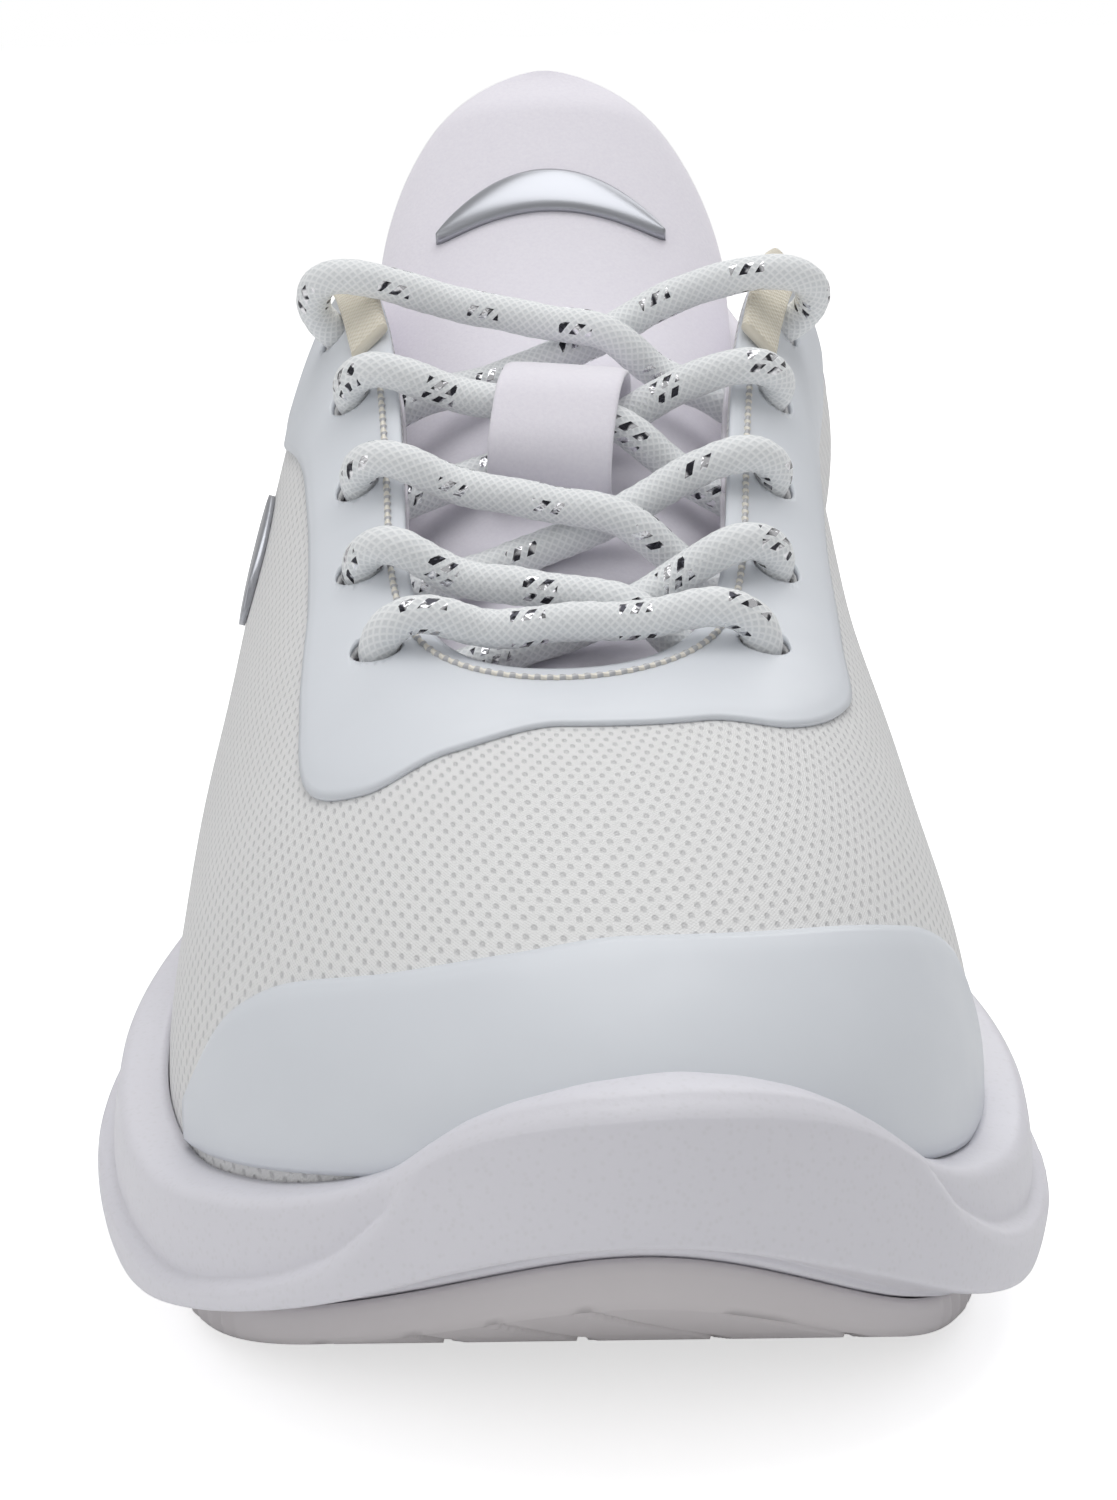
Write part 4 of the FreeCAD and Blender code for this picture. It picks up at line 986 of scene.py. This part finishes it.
def wall_inset_at(u, height):
    """How far inside the outline the upper stands, at a height, found by bisection."""
    low, high = np.zeros(u.shape), np.full(u.shape, 0.5)
    for _ in range(24):
        middle = (low + high) / 2
        below = wall_point(u, middle)[..., 2] < height
        low = np.where(below, middle, low)
        high = np.where(below, high, middle)
    place = upper_point(u, low, np.zeros(u.shape), soft=0.0)[..., :2]
    edge = flat_outline(u, np.zeros(u.shape))
    return np.linalg.norm(edge - place, axis=-1)


# Where the side's crease shows: it fades out across the toe bumper's smooth swell.
crease_shown = table([(0, 1.0), (7.85, 1.0), (8.05, 0.0), (9.9, 0.0), (10.1, 1.0), (18, 1.0)])
WELL_CLEARANCE = 0.25


def closed_from_rings(name, rings, material, body):
    """A closed piece over rings of points that start and end on the middle line."""
    grid = np.stack(rings, axis=1)
    faces = grid_faces(grid.shape[0], grid.shape[1], wrap_rows=True)
    obj = add_mesh(name, grid.reshape(-1, 3), faces, MATERIALS[material], body, [name])
    merge_close(obj)
    recalculate_normals(obj)
    return obj


def ring_at(u, inset, height):
    """A ring of points inside the outline, at a height."""
    return np.column_stack([flat_outline(u, inset), height])


def floor_rings(inner, outer, shares, height_at):
    """Rings between two flat lines, lying on a surface of height height_at(y)."""
    flats = [inner * (1 - share) + outer * share for share in shares]
    return [np.column_stack([xy, height_at(xy[:, 1])]) for xy in flats]


def side_rings(u, rim, bottom_inset, start):
    """The midsole's sculpted side, from its underside up to the round of the rim."""
    rings = []
    shown = crease_shown(u)
    steps = 44
    for share in np.arange(1, steps + 1) / steps:
        height = start + (rim - RIM_ROUND - start) * share
        low = smoothstep(share * 6)
        bulge = midsole_side(height) * low + bottom_inset * (1 - low)
        from_crease = height - step_line(u)
        above = smoothstep(from_crease / 1.1) * shown + 0.15 * (1 - shown)
        groove = shown * np.exp(-((from_crease / 0.8) ** 2))
        proud = 1.3 * (1 - above) * smoothstep(share * 5)
        rings.append(ring_at(u, bulge + 0.75 * above + 0.35 * groove - proud + 0.35, height))
    return rings


def rim_rings(u, rim, outer_inset, upper_inset):
    """The round of the rim, and the lip from it to the upper."""
    rings = []
    for degrees in (25, 50, 75, 90):
        angle = math.radians(degrees)
        inset = outer_inset + RIM_ROUND * (1 - math.cos(angle))
        rings.append(ring_at(u, inset, rim - RIM_ROUND + RIM_ROUND * math.sin(angle)))
    lip = upper_inset - outer_inset - RIM_ROUND
    for share in (0.35, 0.7, 1.0):
        inset = outer_inset + RIM_ROUND + lip * share
        rings.append(ring_at(u, inset, rim + 0.25 * lip * share * (1 - 0.5 * share)))
    return rings


def well_rings(u, top, floor):
    """The wall of the well the upper stands in, from the lip down to the floor."""
    rings = []
    for share in np.linspace(0.12, 1.0, 8):
        height = top + (floor - top) * share
        inset = wall_inset_at(u, np.maximum(height, floor + 0.1)) - WELL_CLEARANCE
        rings.append(ring_at(u, np.maximum(inset, 1.0), height))
    return rings


def make_midsole():
    """Foam sole: underside, sculpted side, rounded rim, and the well the upper stands in."""
    columns = 640
    u = np.linspace(0, STATIONS, columns, endpoint=False)
    rim = RIM(u)
    bottom_inset = np.full(columns, 6.4)
    edge_bottom = flat_outline(u, bottom_inset)
    spine = spine_point(u, np.zeros(columns))
    start = ground_height(edge_bottom[:, 1], FOAM_FOOT)
    outer_inset = midsole_side(rim - RIM_ROUND) + 1.1
    upper_inset = wall_inset_at(u, rim) - WELL_CLEARANCE
    floor_edge = flat_outline(u, np.full(columns, FEATHER_INSET + 0.6))

    def underside(y):
        return ground_height(y, FOAM_FOOT)

    def floor(y):
        return footbed_height(y) - 0.1

    rings = floor_rings(spine, edge_bottom, np.linspace(0.0, 1.0, 12), underside)
    rings += side_rings(u, rim, bottom_inset, start)
    rings += rim_rings(u, rim, outer_inset, upper_inset)
    lip_top = rim + 0.12 * (upper_inset - outer_inset - RIM_ROUND)
    rings += well_rings(u, lip_top, floor(floor_edge[:, 1]))
    rings += floor_rings(floor_edge, spine, np.linspace(0.12, 1.0, 8), floor)
    closed_from_rings("midsole", rings, "midsole_foam", "shoe")


def tread_relief(x, y):
    """Depth of the tread at a place on the underside: arched waves, and leaf lugs at the toe."""
    radius = 60.0
    bow = y - radius + np.sqrt(np.maximum(radius**2 - x**2, 1.0))
    wave = np.cos(math.tau * (bow + 78.0) / 7.0)
    grooves = 1.3 * smoothstep((wave - 0.35) / 0.35)
    # Each leaf leans towards the inner side, its joints bending like an S.
    lean = x + 5.0 * np.sin((y + 100.0) * math.tau / 34.0) - 0.5 * (y + 100.0)
    joint = np.cos(math.tau * lean / 12.5)
    leaves = 1.5 * smoothstep((joint - 0.86) / 0.1)
    flow = np.cos(math.tau * (bow + 78.0 + 1.2 * np.sin(x / 9.0)) / 5.0)
    lines = 0.9 * smoothstep((flow - 0.72) / 0.2)
    toe = smoothstep((-98.0 - y) / 3.0)
    middle = smoothstep((-82.0 - y) / 3.0) * (1 - toe)
    return grooves * (1 - toe) * (1 - middle) + lines * middle + leaves * toe


def make_outsole():
    """Rubber sole with its tread cut into the mesh."""
    columns = 720
    u = np.linspace(0, STATIONS, columns, endpoint=False)
    edge = flat_outline(u, np.full(columns, OUTSOLE_INSET))
    spine = spine_point(u, np.zeros(columns))

    def top(y):
        return ground_height(y, OUTSOLE_THICK)

    rings = floor_rings(spine, edge, np.linspace(0.0, 1.0, 10), top)
    # Fine upright ribs round the edge, left out at the toe.
    rib = 0.5 * smoothstep(np.sin(u * 60.0) * 2) * smoothstep((edge[:, 1] + 100.0) / 8.0)
    for lift, out in ((2.9, 0.35), (2.2, 0.45), (1.2, 0.45), (0.5, 0.2)):
        xy = flat_outline(u, OUTSOLE_INSET - out + rib)
        rings.append(np.column_stack([xy, ground_height(xy[:, 1], lift)]))
    inner = flat_outline(u, np.full(columns, OUTSOLE_INSET + 0.3))
    for share in np.linspace(1.0, 0.0, 90):
        xy = spine * (1 - share) + inner * share
        relief = tread_relief(xy[:, 0], xy[:, 1]) * smoothstep((1 - share) * 30)
        relief *= smoothstep(np.linalg.norm(xy - spine, axis=1) / 3.0)
        rings.append(np.column_stack([xy, ground_height(xy[:, 1], 0.0) + relief]))
    closed_from_rings("outsole", rings, "outsole_rubber", "shoe")


LINER_INSET, LINER_LIFT, LINER_THICK = 14.6, 2.15, 3.9


def make_sockliner():
    """Cushioned insole with a shallow heel cup and a rolled edge."""
    columns = 300
    u = np.linspace(0, STATIONS, columns, endpoint=False)
    spine = spine_point(u, np.zeros(columns))
    edge = flat_outline(u, np.full(columns, LINER_INSET))

    def underside(y):
        return footbed_height(y) + LINER_LIFT

    rings = floor_rings(spine, edge, np.linspace(0, 1, 16), underside)
    for degrees in (-60, -20, 20, 60):
        angle = math.radians(degrees)
        xy = flat_outline(u, np.full(columns, LINER_INSET - 0.5 * math.cos(angle)))
        height = underside(xy[:, 1]) + LINER_THICK * (0.5 + 0.5 * math.sin(angle))
        rings.append(np.column_stack([xy, height]))
    for share in np.linspace(1, 0, 26):
        xy = spine * (1 - share) + edge * share
        cup = 0.9 * share**4 * smoothstep((xy[:, 1] - 20.0) / 60.0)
        dent = 0.5 * np.exp(-(((share - 0.35) / 0.3) ** 2))
        rings.append(np.column_stack([xy, underside(xy[:, 1]) + LINER_THICK + cup - dent]))
    closed_from_rings("sockliner", rings, "sockliner_foam", "sockliner_insert")


# ---------------------------------------------------------------- tongue
# The middle of the tongue's face: share of its length, place along the shoe, height.
SPINE = [
    (0.00, -64.0, 53.6),
    (0.19, -44.0, 60.2),
    (0.45, -16.0, 75.4),
    (0.70, 12.0, 90.7),
    (0.86, 30.0, 105.0),
    (1.00, 47.0, 122.6),
]
TONGUE_RADIUS, TONGUE_LENGTH, TONGUE_TIP, TIP_LEAN = 38.0, 133.0, 23.0, -3.0
TONGUE_ROWS, TONGUE_COLUMNS, PUFF_FRAMES = 150, 49, 14
spine_y = table([(s, y) for s, y, _ in SPINE])
spine_z = table([(s, z) for s, _, z in SPINE])
tongue_half = table([(0.0, 18.0), (0.2, 20.0), (0.5, 21.5), (0.8, 23.0), (1.0, 23.0)])


def spine_frame(s):
    """Middle of the tongue's face and its outward direction."""
    low, high = np.clip(np.subtract(s, 1e-3), 0, 1), np.clip(np.add(s, 1e-3), 0, 1)
    level = np.zeros(np.shape(s))
    rise = unit(np.stack([level, spine_y(high) - spine_y(low), spine_z(high) - spine_z(low)], axis=-1))
    outward = np.stack([level, -rise[..., 2], rise[..., 1]], axis=-1)
    middle = np.stack([TIP_LEAN * np.square(s), spine_y(s), spine_z(s)], axis=-1)
    return middle, rise, outward


def tongue_point(s, x, depth):
    """A point depth below the tongue's face, at x from its middle."""
    s, x, depth = np.broadcast_arrays(*(np.asarray(given, float) for given in (s, x, depth)))
    middle, _, outward = spine_frame(s)
    drop = TONGUE_RADIUS - np.sqrt(TONGUE_RADIUS**2 - x**2)
    across = np.zeros(middle.shape)
    across[..., 0] = x
    return middle + across - outward * (drop + depth)[..., None]


def tongue_width(s):
    """Half width of the tongue, closing in a round arc at its tip."""
    to_tip = (1 - s) * TONGUE_LENGTH
    inside = np.where(to_tip < TONGUE_TIP, 1 - (1 - np.minimum(to_tip / TONGUE_TIP, 1.0)) ** 2, 1.0)
    return tongue_half(s) * np.sqrt(np.maximum(inside, 0.0))


def tongue_thickness(s):
    """Thickness of the padding, thin at the seam and full near the tip."""
    return 4.4 + 3.4 * smoothstep(s / 0.75)


def tongue_shell(name, front, back, material, stands_for, seam):
    """A closed shell of the tongue between two depths, given as shares of its thickness."""
    s = np.sin(np.linspace(0, math.pi / 2, TONGUE_ROWS)) * 0.9995
    t = np.sin(np.linspace(-math.pi / 2, math.pi / 2, TONGUE_COLUMNS))
    half = tongue_width(s) - seam
    half = np.maximum(half, 0.2)
    x = half[:, None] * t[None, :]
    thick = tongue_thickness(s)[:, None]
    round_edge = np.sqrt(np.maximum(1 - t[None, :] ** 6, 0.0)) * np.ones((TONGUE_ROWS, 1))
    tip = smoothstep((1 - s) * TONGUE_LENGTH / 7.0)[:, None]
    swell = round_edge * (0.3 + 0.7 * tip)
    middle = thick * 0.45
    top = middle - (middle - front * thick) * swell
    bottom = middle + (back * thick - middle) * swell
    outer = tongue_point(s[:, None], x, top)
    inner = tongue_point(s[:, None], x, bottom)
    obj = slab(name, outer, inner, material, "tongue", stands_for, flip=True)
    recalculate_normals(obj)
    return obj


def make_tongue():
    """Padded tongue: face cloth, foam and lining."""
    face = tongue_shell(
        "tongue_face", 0.0, 0.4, MATERIALS["microfibre"], ["tongue_face", "tongue_foam"], 0.0
    )
    lining = tongue_shell(
        "tongue_lining", 0.43, 1.0, MATERIALS["lining_cloth"], ["tongue_lining"], 0.35
    )
    for shell in (face, lining):
        puff(shell, 0.9)


def pin_border(obj, count):
    """A vertex group holding the border of both faces of a tongue shell."""
    group = obj.vertex_groups.new(name="seam")
    for i in range(TONGUE_ROWS):
        for j in range(TONGUE_COLUMNS):
            if i < 3 or i > TONGUE_ROWS - 3 or j < 2 or j > TONGUE_COLUMNS - 3:
                k = i * TONGUE_COLUMNS + j
                group.add([k, k + count], 1.0, "REPLACE")
    return group.name


def places_of(mesh):
    """The places of a mesh's points, one row each."""
    places = np.zeros(len(mesh.vertices) * 3)
    mesh.vertices.foreach_get("co", places)
    return places.reshape(-1, 3)


def puff(obj, limit):
    """Inflates a padded shell as pressurised cloth, pinned along its border, and caps the move."""
    rest = places_of(obj.data)
    cloth = obj.modifiers.new("cloth", "CLOTH")
    settings = cloth.settings
    settings.quality = 4
    settings.mass = 0.15
    settings.tension_stiffness = 25
    settings.compression_stiffness = 12
    settings.bending_stiffness = 1.2
    settings.use_pressure = True
    settings.uniform_pressure_force = 4.0
    settings.vertex_group_mass = pin_border(obj, len(rest) // 2)
    settings.effector_weights.gravity = 0.0
    cloth.point_cache.frame_start = 1
    cloth.point_cache.frame_end = PUFF_FRAMES
    scene = bpy.context.scene
    for frame_number in range(1, PUFF_FRAMES + 1):
        scene.frame_set(frame_number)
    evaluated = obj.evaluated_get(bpy.context.evaluated_depsgraph_get())
    shift = places_of(evaluated.to_mesh()) - rest
    evaluated.to_mesh_clear()
    obj.modifiers.clear()
    scene.frame_set(1)
    length = np.maximum(np.linalg.norm(shift, axis=1), 1e-9)
    cap = limit * MM * np.tanh(length / (limit * MM)) / length
    obj.data.vertices.foreach_set("co", (rest + shift * cap[:, None]).ravel())
    obj.data.update()


def make_tongue_emblem():
    """A plain raised crescent across the top of the tongue."""
    columns, rows = 90, 13
    share = np.linspace(-1, 1, columns)
    middle = 0.865 - 0.035 * share**2
    half = 0.022 * np.sqrt(1.02 - share**2)
    t = np.linspace(-1, 1, rows)
    s = middle[:, None] + half[:, None] * t[None, :]
    x = np.broadcast_to(15.0 * share[:, None], s.shape)
    crown = 0.25 + 0.75 * np.sqrt(1 - 0.96 * t[None, :] ** 2)
    top = tongue_point(s, x, -(0.2 + 1.2 * crown) * np.ones(s.shape))
    bottom = tongue_point(s, x, 0.25)
    slab("tongue_emblem", top, bottom, MATERIALS["silver"], "tongue", ["tongue_emblem"])


def tongue_share(y):
    """Share of the tongue's length at a place along the shoe."""
    places = np.linspace(0, 1, 2001)
    return float(np.interp(y, spine_y(places), places))


KEEPER_TILT, KEEPER_HALF_SPAN, KEEPER_CLEAR = 8.0, 9.5, 10.3
KEEPER_WIDTH, KEEPER_THICK = 14.5, 1.1


def make_keeper():
    """The tab that holds the crossed laces on the tongue, sewn at both ends."""
    second, third = (eyelet(MEDIAL, row)[0][1] for row in (1, 2))
    middle, rise, outward = spine_frame(tongue_share((second + third) / 2 + 1.0))
    tilt = math.radians(KEEPER_TILT)
    run = np.array([math.sin(tilt), rise[1] * math.cos(tilt), rise[2] * math.cos(tilt)])
    points = []
    for angle in np.linspace(0, math.pi, 13):
        cosine, sine = math.cos(angle), max(0.0, math.sin(angle))
        squareness = 0.62 + 0.38 * abs(cosine) ** 3 + 0.2 * sine
        lift = KEEPER_CLEAR * sine**0.5 if 1e-9 < sine else 0.0
        points.append(middle - run * (KEEPER_HALF_SPAN * cosine * squareness) + outward * (lift + 1.0))
    line = spline(points, 2.5)
    side = np.cross(run, outward)
    cloth, node, slot = MATERIALS["microfibre"], "lace_keeper", "microfibre"
    strap(node, line, side, KEEPER_WIDTH, KEEPER_THICK, cloth, "tongue", [node], 0.15)


# ---------------------------------------------------------------- lace
LACE_RADIUS, LACE_GAP, STITCH_RADIUS = 2.1, 0.4, 0.3
OVER = FILM_TOP + 2 * STITCH_RADIUS + 0.3 + LACE_RADIUS
UNDER = LINING_BOTTOM - LACE_GAP - LACE_RADIUS
TURN = (OVER - UNDER) / 2
LOOP_LIFT = 2.9
# Where the strands pass over the tongue: distance from its middle and height over its face.
UPPER_STRAND = [(12, 4.8), (6, 7.7), (0, 7.4), (-6, 8.1), (-12, 9.8)]
LOWER_STRAND = [(10, 2.9), (0, 2.6), (-6, 4.1), (-12, 7.8)]
BAR = [(9, 9.2), (0, 8.2), (-9, 9.2)]


# The eyelets in the order the lace visits them: down from the top on one side, across the
# front, and back up. On the way down it comes up through each eyelet, and then it goes down.
WAY_DOWN = [(LATERAL, 0), (MEDIAL, 1), (LATERAL, 2), (MEDIAL, 3), (LATERAL, 4)]
WAY_BACK = [(MEDIAL, 4), (LATERAL, 3), (MEDIAL, 2), (LATERAL, 1), (MEDIAL, 0)]
# The loose end inside the shoe: stations behind the top eyelet, height on the wall, offset.
TAIL = [(0.40, 0.64, -10.1), (0.75, 0.575, -11.9), (1.10, 0.53, -12.9)]
AGLET_RADIUS, AGLET_LENGTH = 1.75, 20.0


def lace_lift(row):
    """How much higher the lace turns where it passes over a webbing loop."""
    return LOOP_LIFT if row == 0 else 0.0


def strand_points(start_at, finish_at, heights, over_lift):
    """Waypoints across the tongue between two eyelets."""
    start, finish = eyelet(*start_at)[0], eyelet(*finish_at)[0]
    points = []
    for distance, height in heights:
        x = distance * start_at[0]
        share = (x - start[0]) / (finish[0] - start[0])
        y = start[1] + (finish[1] - start[1]) * share
        s = tongue_share(y + 2.0)
        lift = height + over_lift * max(0.0, share)
        points.append(tongue_point(s, x, 0.0) + spine_frame(s)[2] * lift)
    return points


def turn_points(side, row, towards_under, towards_over):
    """The lace's turn up through an eyelet, from under the edge to over it."""
    centre, outward = eyelet(side, row)
    points = []
    for degrees in (-90, -50, -20, 20, 50, 90):
        turned = math.radians(degrees)
        towards = towards_under if degrees < 0 else towards_over
        heading = towards - centre
        heading = unit(heading - outward * (heading @ outward))
        lift = lace_lift(row) * max(0.0, math.sin(turned))
        rise = (OVER + UNDER) / 2 + TURN * math.sin(turned) + lift
        points.append(centre + heading * (TURN * (1 - math.cos(turned))) + outward * rise)
    return points


def tail_points(side):
    """The loose end tucked down inside the shoe, from the top eyelet."""
    top = top_station(side)
    return [upper_point(station_on(side, top - back), v, depth, soft=0.0) for back, v, depth in TAIL]


def strand_between(here, there):
    """Waypoints of the strand from one eyelet to the next."""
    if here[1] == there[1]:
        return strand_points(here, there, BAR, 0.0)
    climbs = here[1] > there[1]
    start, finish = (here, there) if climbs else (there, here)
    heights = UPPER_STRAND if start[0] == MEDIAL else LOWER_STRAND
    points = strand_points(start, finish, heights, lace_lift(finish[1]))
    return points if climbs else points[::-1]


def lace_line():
    """Waypoints of the whole lace, from one tucked end to the other."""
    route = WAY_DOWN + WAY_BACK
    runs = [tail_points(LATERAL)[::-1]]
    runs += [strand_between(here, there) for here, there in zip(route, route[1:])]
    runs.append(tail_points(MEDIAL))
    points = list(runs[0])
    for i, eyelet_at in enumerate(route):
        before, after = runs[i][-1], runs[i + 1][0]
        if i < len(WAY_DOWN):
            points += turn_points(*eyelet_at, before, after)
        else:
            points += turn_points(*eyelet_at, after, before)[::-1]
        points += runs[i + 1]
    return points


def braid_relief(distance, angle):
    """The braid's crossed strands as a low relief."""
    first = np.sin(angle * 6 + distance * math.tau / 2.2)
    second = np.sin(angle * 6 - distance * math.tau / 2.2)
    return 0.05 * np.maximum(first, second) + 0.04 * np.sin(distance * 0.9)


def make_lace():
    """The round lace through all ten eyelets, and its clear tips."""
    line = spline(lace_line(), 1.8)
    braid = MATERIALS["braid"]
    tube("lace", line, LACE_RADIUS, braid, "shoe", ["lace"], sides=28, relief=braid_relief)
    ends = (("lateral", line[0], line[3], ["lace_aglets"]), ("medial", line[-1], line[-4], None))
    for side, end, inner, stands_for in ends:
        reaches = np.linspace(-1.0, AGLET_LENGTH, 24)
        tip = end + unit(end - inner) * reaches[:, None]
        clear = MATERIALS["clear_tip"]
        tube(f"lace_aglet_{side}", tip, AGLET_RADIUS, clear, "shoe", stands_for)


# ---------------------------------------------------------------- trims
# The loops' path beside the top eyelet: stations ahead of it and height on the wall.
LOOP_PATH = [(0.40, 0.945), (0.20, 0.947), (0.0, 0.952), (-0.20, 0.960), (-0.36, 0.972)]
LOOP_WIDTH, WEBBING_THICK = 5.6, 1.4
STITCH_LINE = 0.945
HEEL_LOOP_WIDTH, HEEL_LOOP_HEIGHT, HEEL_LOOP_GAP = 16.0, 20.0, 5.0


def make_stitching():
    """The twisted cord sewn just outside the throat's edge."""
    first = max(top_station(MEDIAL), top_station(LATERAL)) + 0.5
    u = np.linspace(first, STATIONS - first, 120)
    path = upper_point(u, np.full(u.shape, STITCH_LINE), np.full(u.shape, FILM_TOP + 0.12))
    line = spline(path, 4.0)

    def twist(distance, angle):
        return 0.09 * np.cos(2 * (angle - distance * math.tau / 2.6))

    thread, node = MATERIALS["thread"], "throat_stitching"
    tube(node, line, 0.34, thread, "shoe", [node], 10, twist)


def make_lace_loops():
    """A cream webbing loop beside each top eyelet."""
    for side, name in ((MEDIAL, "lace_loop_medial"), (LATERAL, "lace_loop_lateral")):
        top = top_station(side)
        places = [(station_on(side, top + ahead), v) for ahead, v in LOOP_PATH]
        line = spline([upper_point(u, v, FILM_TOP + 0.25, soft=0.0) for u, v in places], 2.5)
        to_edge = wall_frame(station_on(side, top), LOOP_PATH[2][1])[1]
        webbing = MATERIALS["webbing"]
        strap(name, line, to_edge * side, LOOP_WIDTH, WEBBING_THICK, webbing, "shoe", [name], 0.12)


def make_heel_loop():
    """The webbing pull loop behind the collar."""
    foot = upper_point(0.0, 0.97, FILM_TOP + GAP + WEBBING_THICK, soft=0.0)
    radius = HEEL_LOOP_GAP / 2
    leg = HEEL_LOOP_HEIGHT - radius
    up, behind = np.array([0.0, 0.0, leg]), np.array([0.0, 2 * radius, 0.0])
    shares = (0.0, 0.25, 0.5, 0.75)
    points = [foot + up * share for share in shares]
    for degrees in range(0, 181, 20):
        angle = math.radians(degrees)
        points.append(foot + up + radius * np.array([0, 1 - math.cos(angle), math.sin(angle)]))
    points += [foot + behind + up * share for share in shares[::-1]]
    line, across = spline(points, 2.0), (-1, 0, 0)
    webbing, node = MATERIALS["webbing"], "heel_pull_loop"
    strap(node, line, across, HEEL_LOOP_WIDTH, WEBBING_THICK, webbing, "heel_loop", [node], 0.1)


def dress_hidden_nodes():
    """Gives the CAD pieces that stay shown inside the shoe their own materials."""
    slots = {part["node"]: part["material_slot"] for part in frame["record"]["subparts"]}
    for node, obj in frame["nodes"].items():
        if obj.hide_render:
            continue
        obj.data.materials.clear()
        obj.data.materials.append(MATERIALS[slots[node]])


# ---------------------------------------------------------------- stage
WORLD_LIGHT, FLOOR_GLOW, FLOOR_HALF = 0.42, 0.62, 40.0
# The camera: turn, height and roll in degrees, its distance and what it looks at, in metres.
CAMERA_TURN, CAMERA_RISE, CAMERA_ROLL = 1.0, 14.0, 1.2
CAMERA_LENS, CAMERA_DISTANCE, CAMERA_TARGET = 69.6, 0.305, Vector((-0.0009, -0.060, 0.0528))
# Each soft light: its name, place, size and power.
LIGHTS = [
    ("key", (0.05, 0.02, 0.95), 0.8, 4.2),
    ("left", (-0.7, -0.5, 0.5), 0.6, 1.0),
    ("back", (0.2, 0.8, 0.7), 0.7, 2.0),
]
LIGHT_AIM = Vector((0, -0.03, 0.04))


def make_floor():
    """A pale floor that glows a little for the camera only, so it stays near white."""
    mesh = bpy.data.meshes.new("floor")
    corners = [(x * FLOOR_HALF, y * FLOOR_HALF, 0.0) for x, y in ((-1, -1), (1, -1), (1, 1), (-1, 1))]
    mesh.from_pydata(corners, [], [(0, 1, 2, 3)])
    floor = bpy.data.objects.new("floor", mesh)
    floor.location.z = -0.0004
    bpy.context.scene.collection.objects.link(floor)
    paint = Finish("floor_paint", (0.93, 0.93, 0.93, 1.0), 0.7)
    looked_at = paint.node("ShaderNodeLightPath").outputs["Is Camera Ray"]
    paint.shader.inputs["Emission Color"].default_value = (1.0, 1.0, 1.0, 1.0)
    paint.put(paint.shader.inputs["Emission Strength"], paint.math("MULTIPLY", looked_at, FLOOR_GLOW))
    mesh.materials.append(paint.material)


def make_world():
    """Even white surroundings: full white to the camera, softer as a light."""
    world = bpy.data.worlds.new("studio")
    world.use_nodes = True
    nodes, links = world.node_tree.nodes, world.node_tree.links
    background = nodes["Background"]
    background.inputs["Color"].default_value = (1.0, 1.0, 1.0, 1.0)
    strength = nodes.new("ShaderNodeMapRange")
    strength.inputs["To Min"].default_value = WORLD_LIGHT
    links.new(nodes.new("ShaderNodeLightPath").outputs["Is Camera Ray"], strength.inputs["Value"])
    links.new(strength.outputs[0], background.inputs["Strength"])
    bpy.context.scene.world = world


def make_lights():
    """Soft area lights, mostly from overhead."""
    for name, place, size, power in LIGHTS:
        lamp = bpy.data.lights.new(name, "AREA")
        lamp.size = size
        lamp.energy = power
        obj = bpy.data.objects.new(name, lamp)
        obj.location = place
        obj.rotation_euler = (LIGHT_AIM - Vector(place)).to_track_quat("-Z", "Y").to_euler()
        bpy.context.scene.collection.objects.link(obj)


def make_camera():
    """The camera in front of the toe and a little above it."""
    camera = bpy.data.cameras.new("camera")
    camera.lens = CAMERA_LENS
    camera.clip_start = 0.01
    turn, rise, roll = (math.radians(angle) for angle in (CAMERA_TURN, CAMERA_RISE, CAMERA_ROLL))
    back = Vector((math.sin(turn) * math.cos(rise), -math.cos(turn) * math.cos(rise), math.sin(rise)))
    right = Vector((math.cos(turn), math.sin(turn), 0))
    up = right.cross(-back)
    side = right * math.cos(roll) - up * math.sin(roll)
    top = right * math.sin(roll) + up * math.cos(roll)
    obj = bpy.data.objects.new("camera", camera)
    obj.matrix_world = Matrix((side, top, back)).transposed().to_4x4()
    obj.location = CAMERA_TARGET + back * CAMERA_DISTANCE
    bpy.context.scene.collection.objects.link(obj)
    bpy.context.scene.camera = obj
    bpy.context.scene.view_settings.view_transform = "Standard"


make_upper()
make_side_emblem()
make_collar()
make_midsole()
make_outsole()
make_sockliner()
make_tongue()
make_tongue_emblem()
make_keeper()
make_lace()
make_stitching()
make_lace_loops()
make_heel_loop()
dress_hidden_nodes()
make_floor()
make_world()
make_lights()
make_camera()
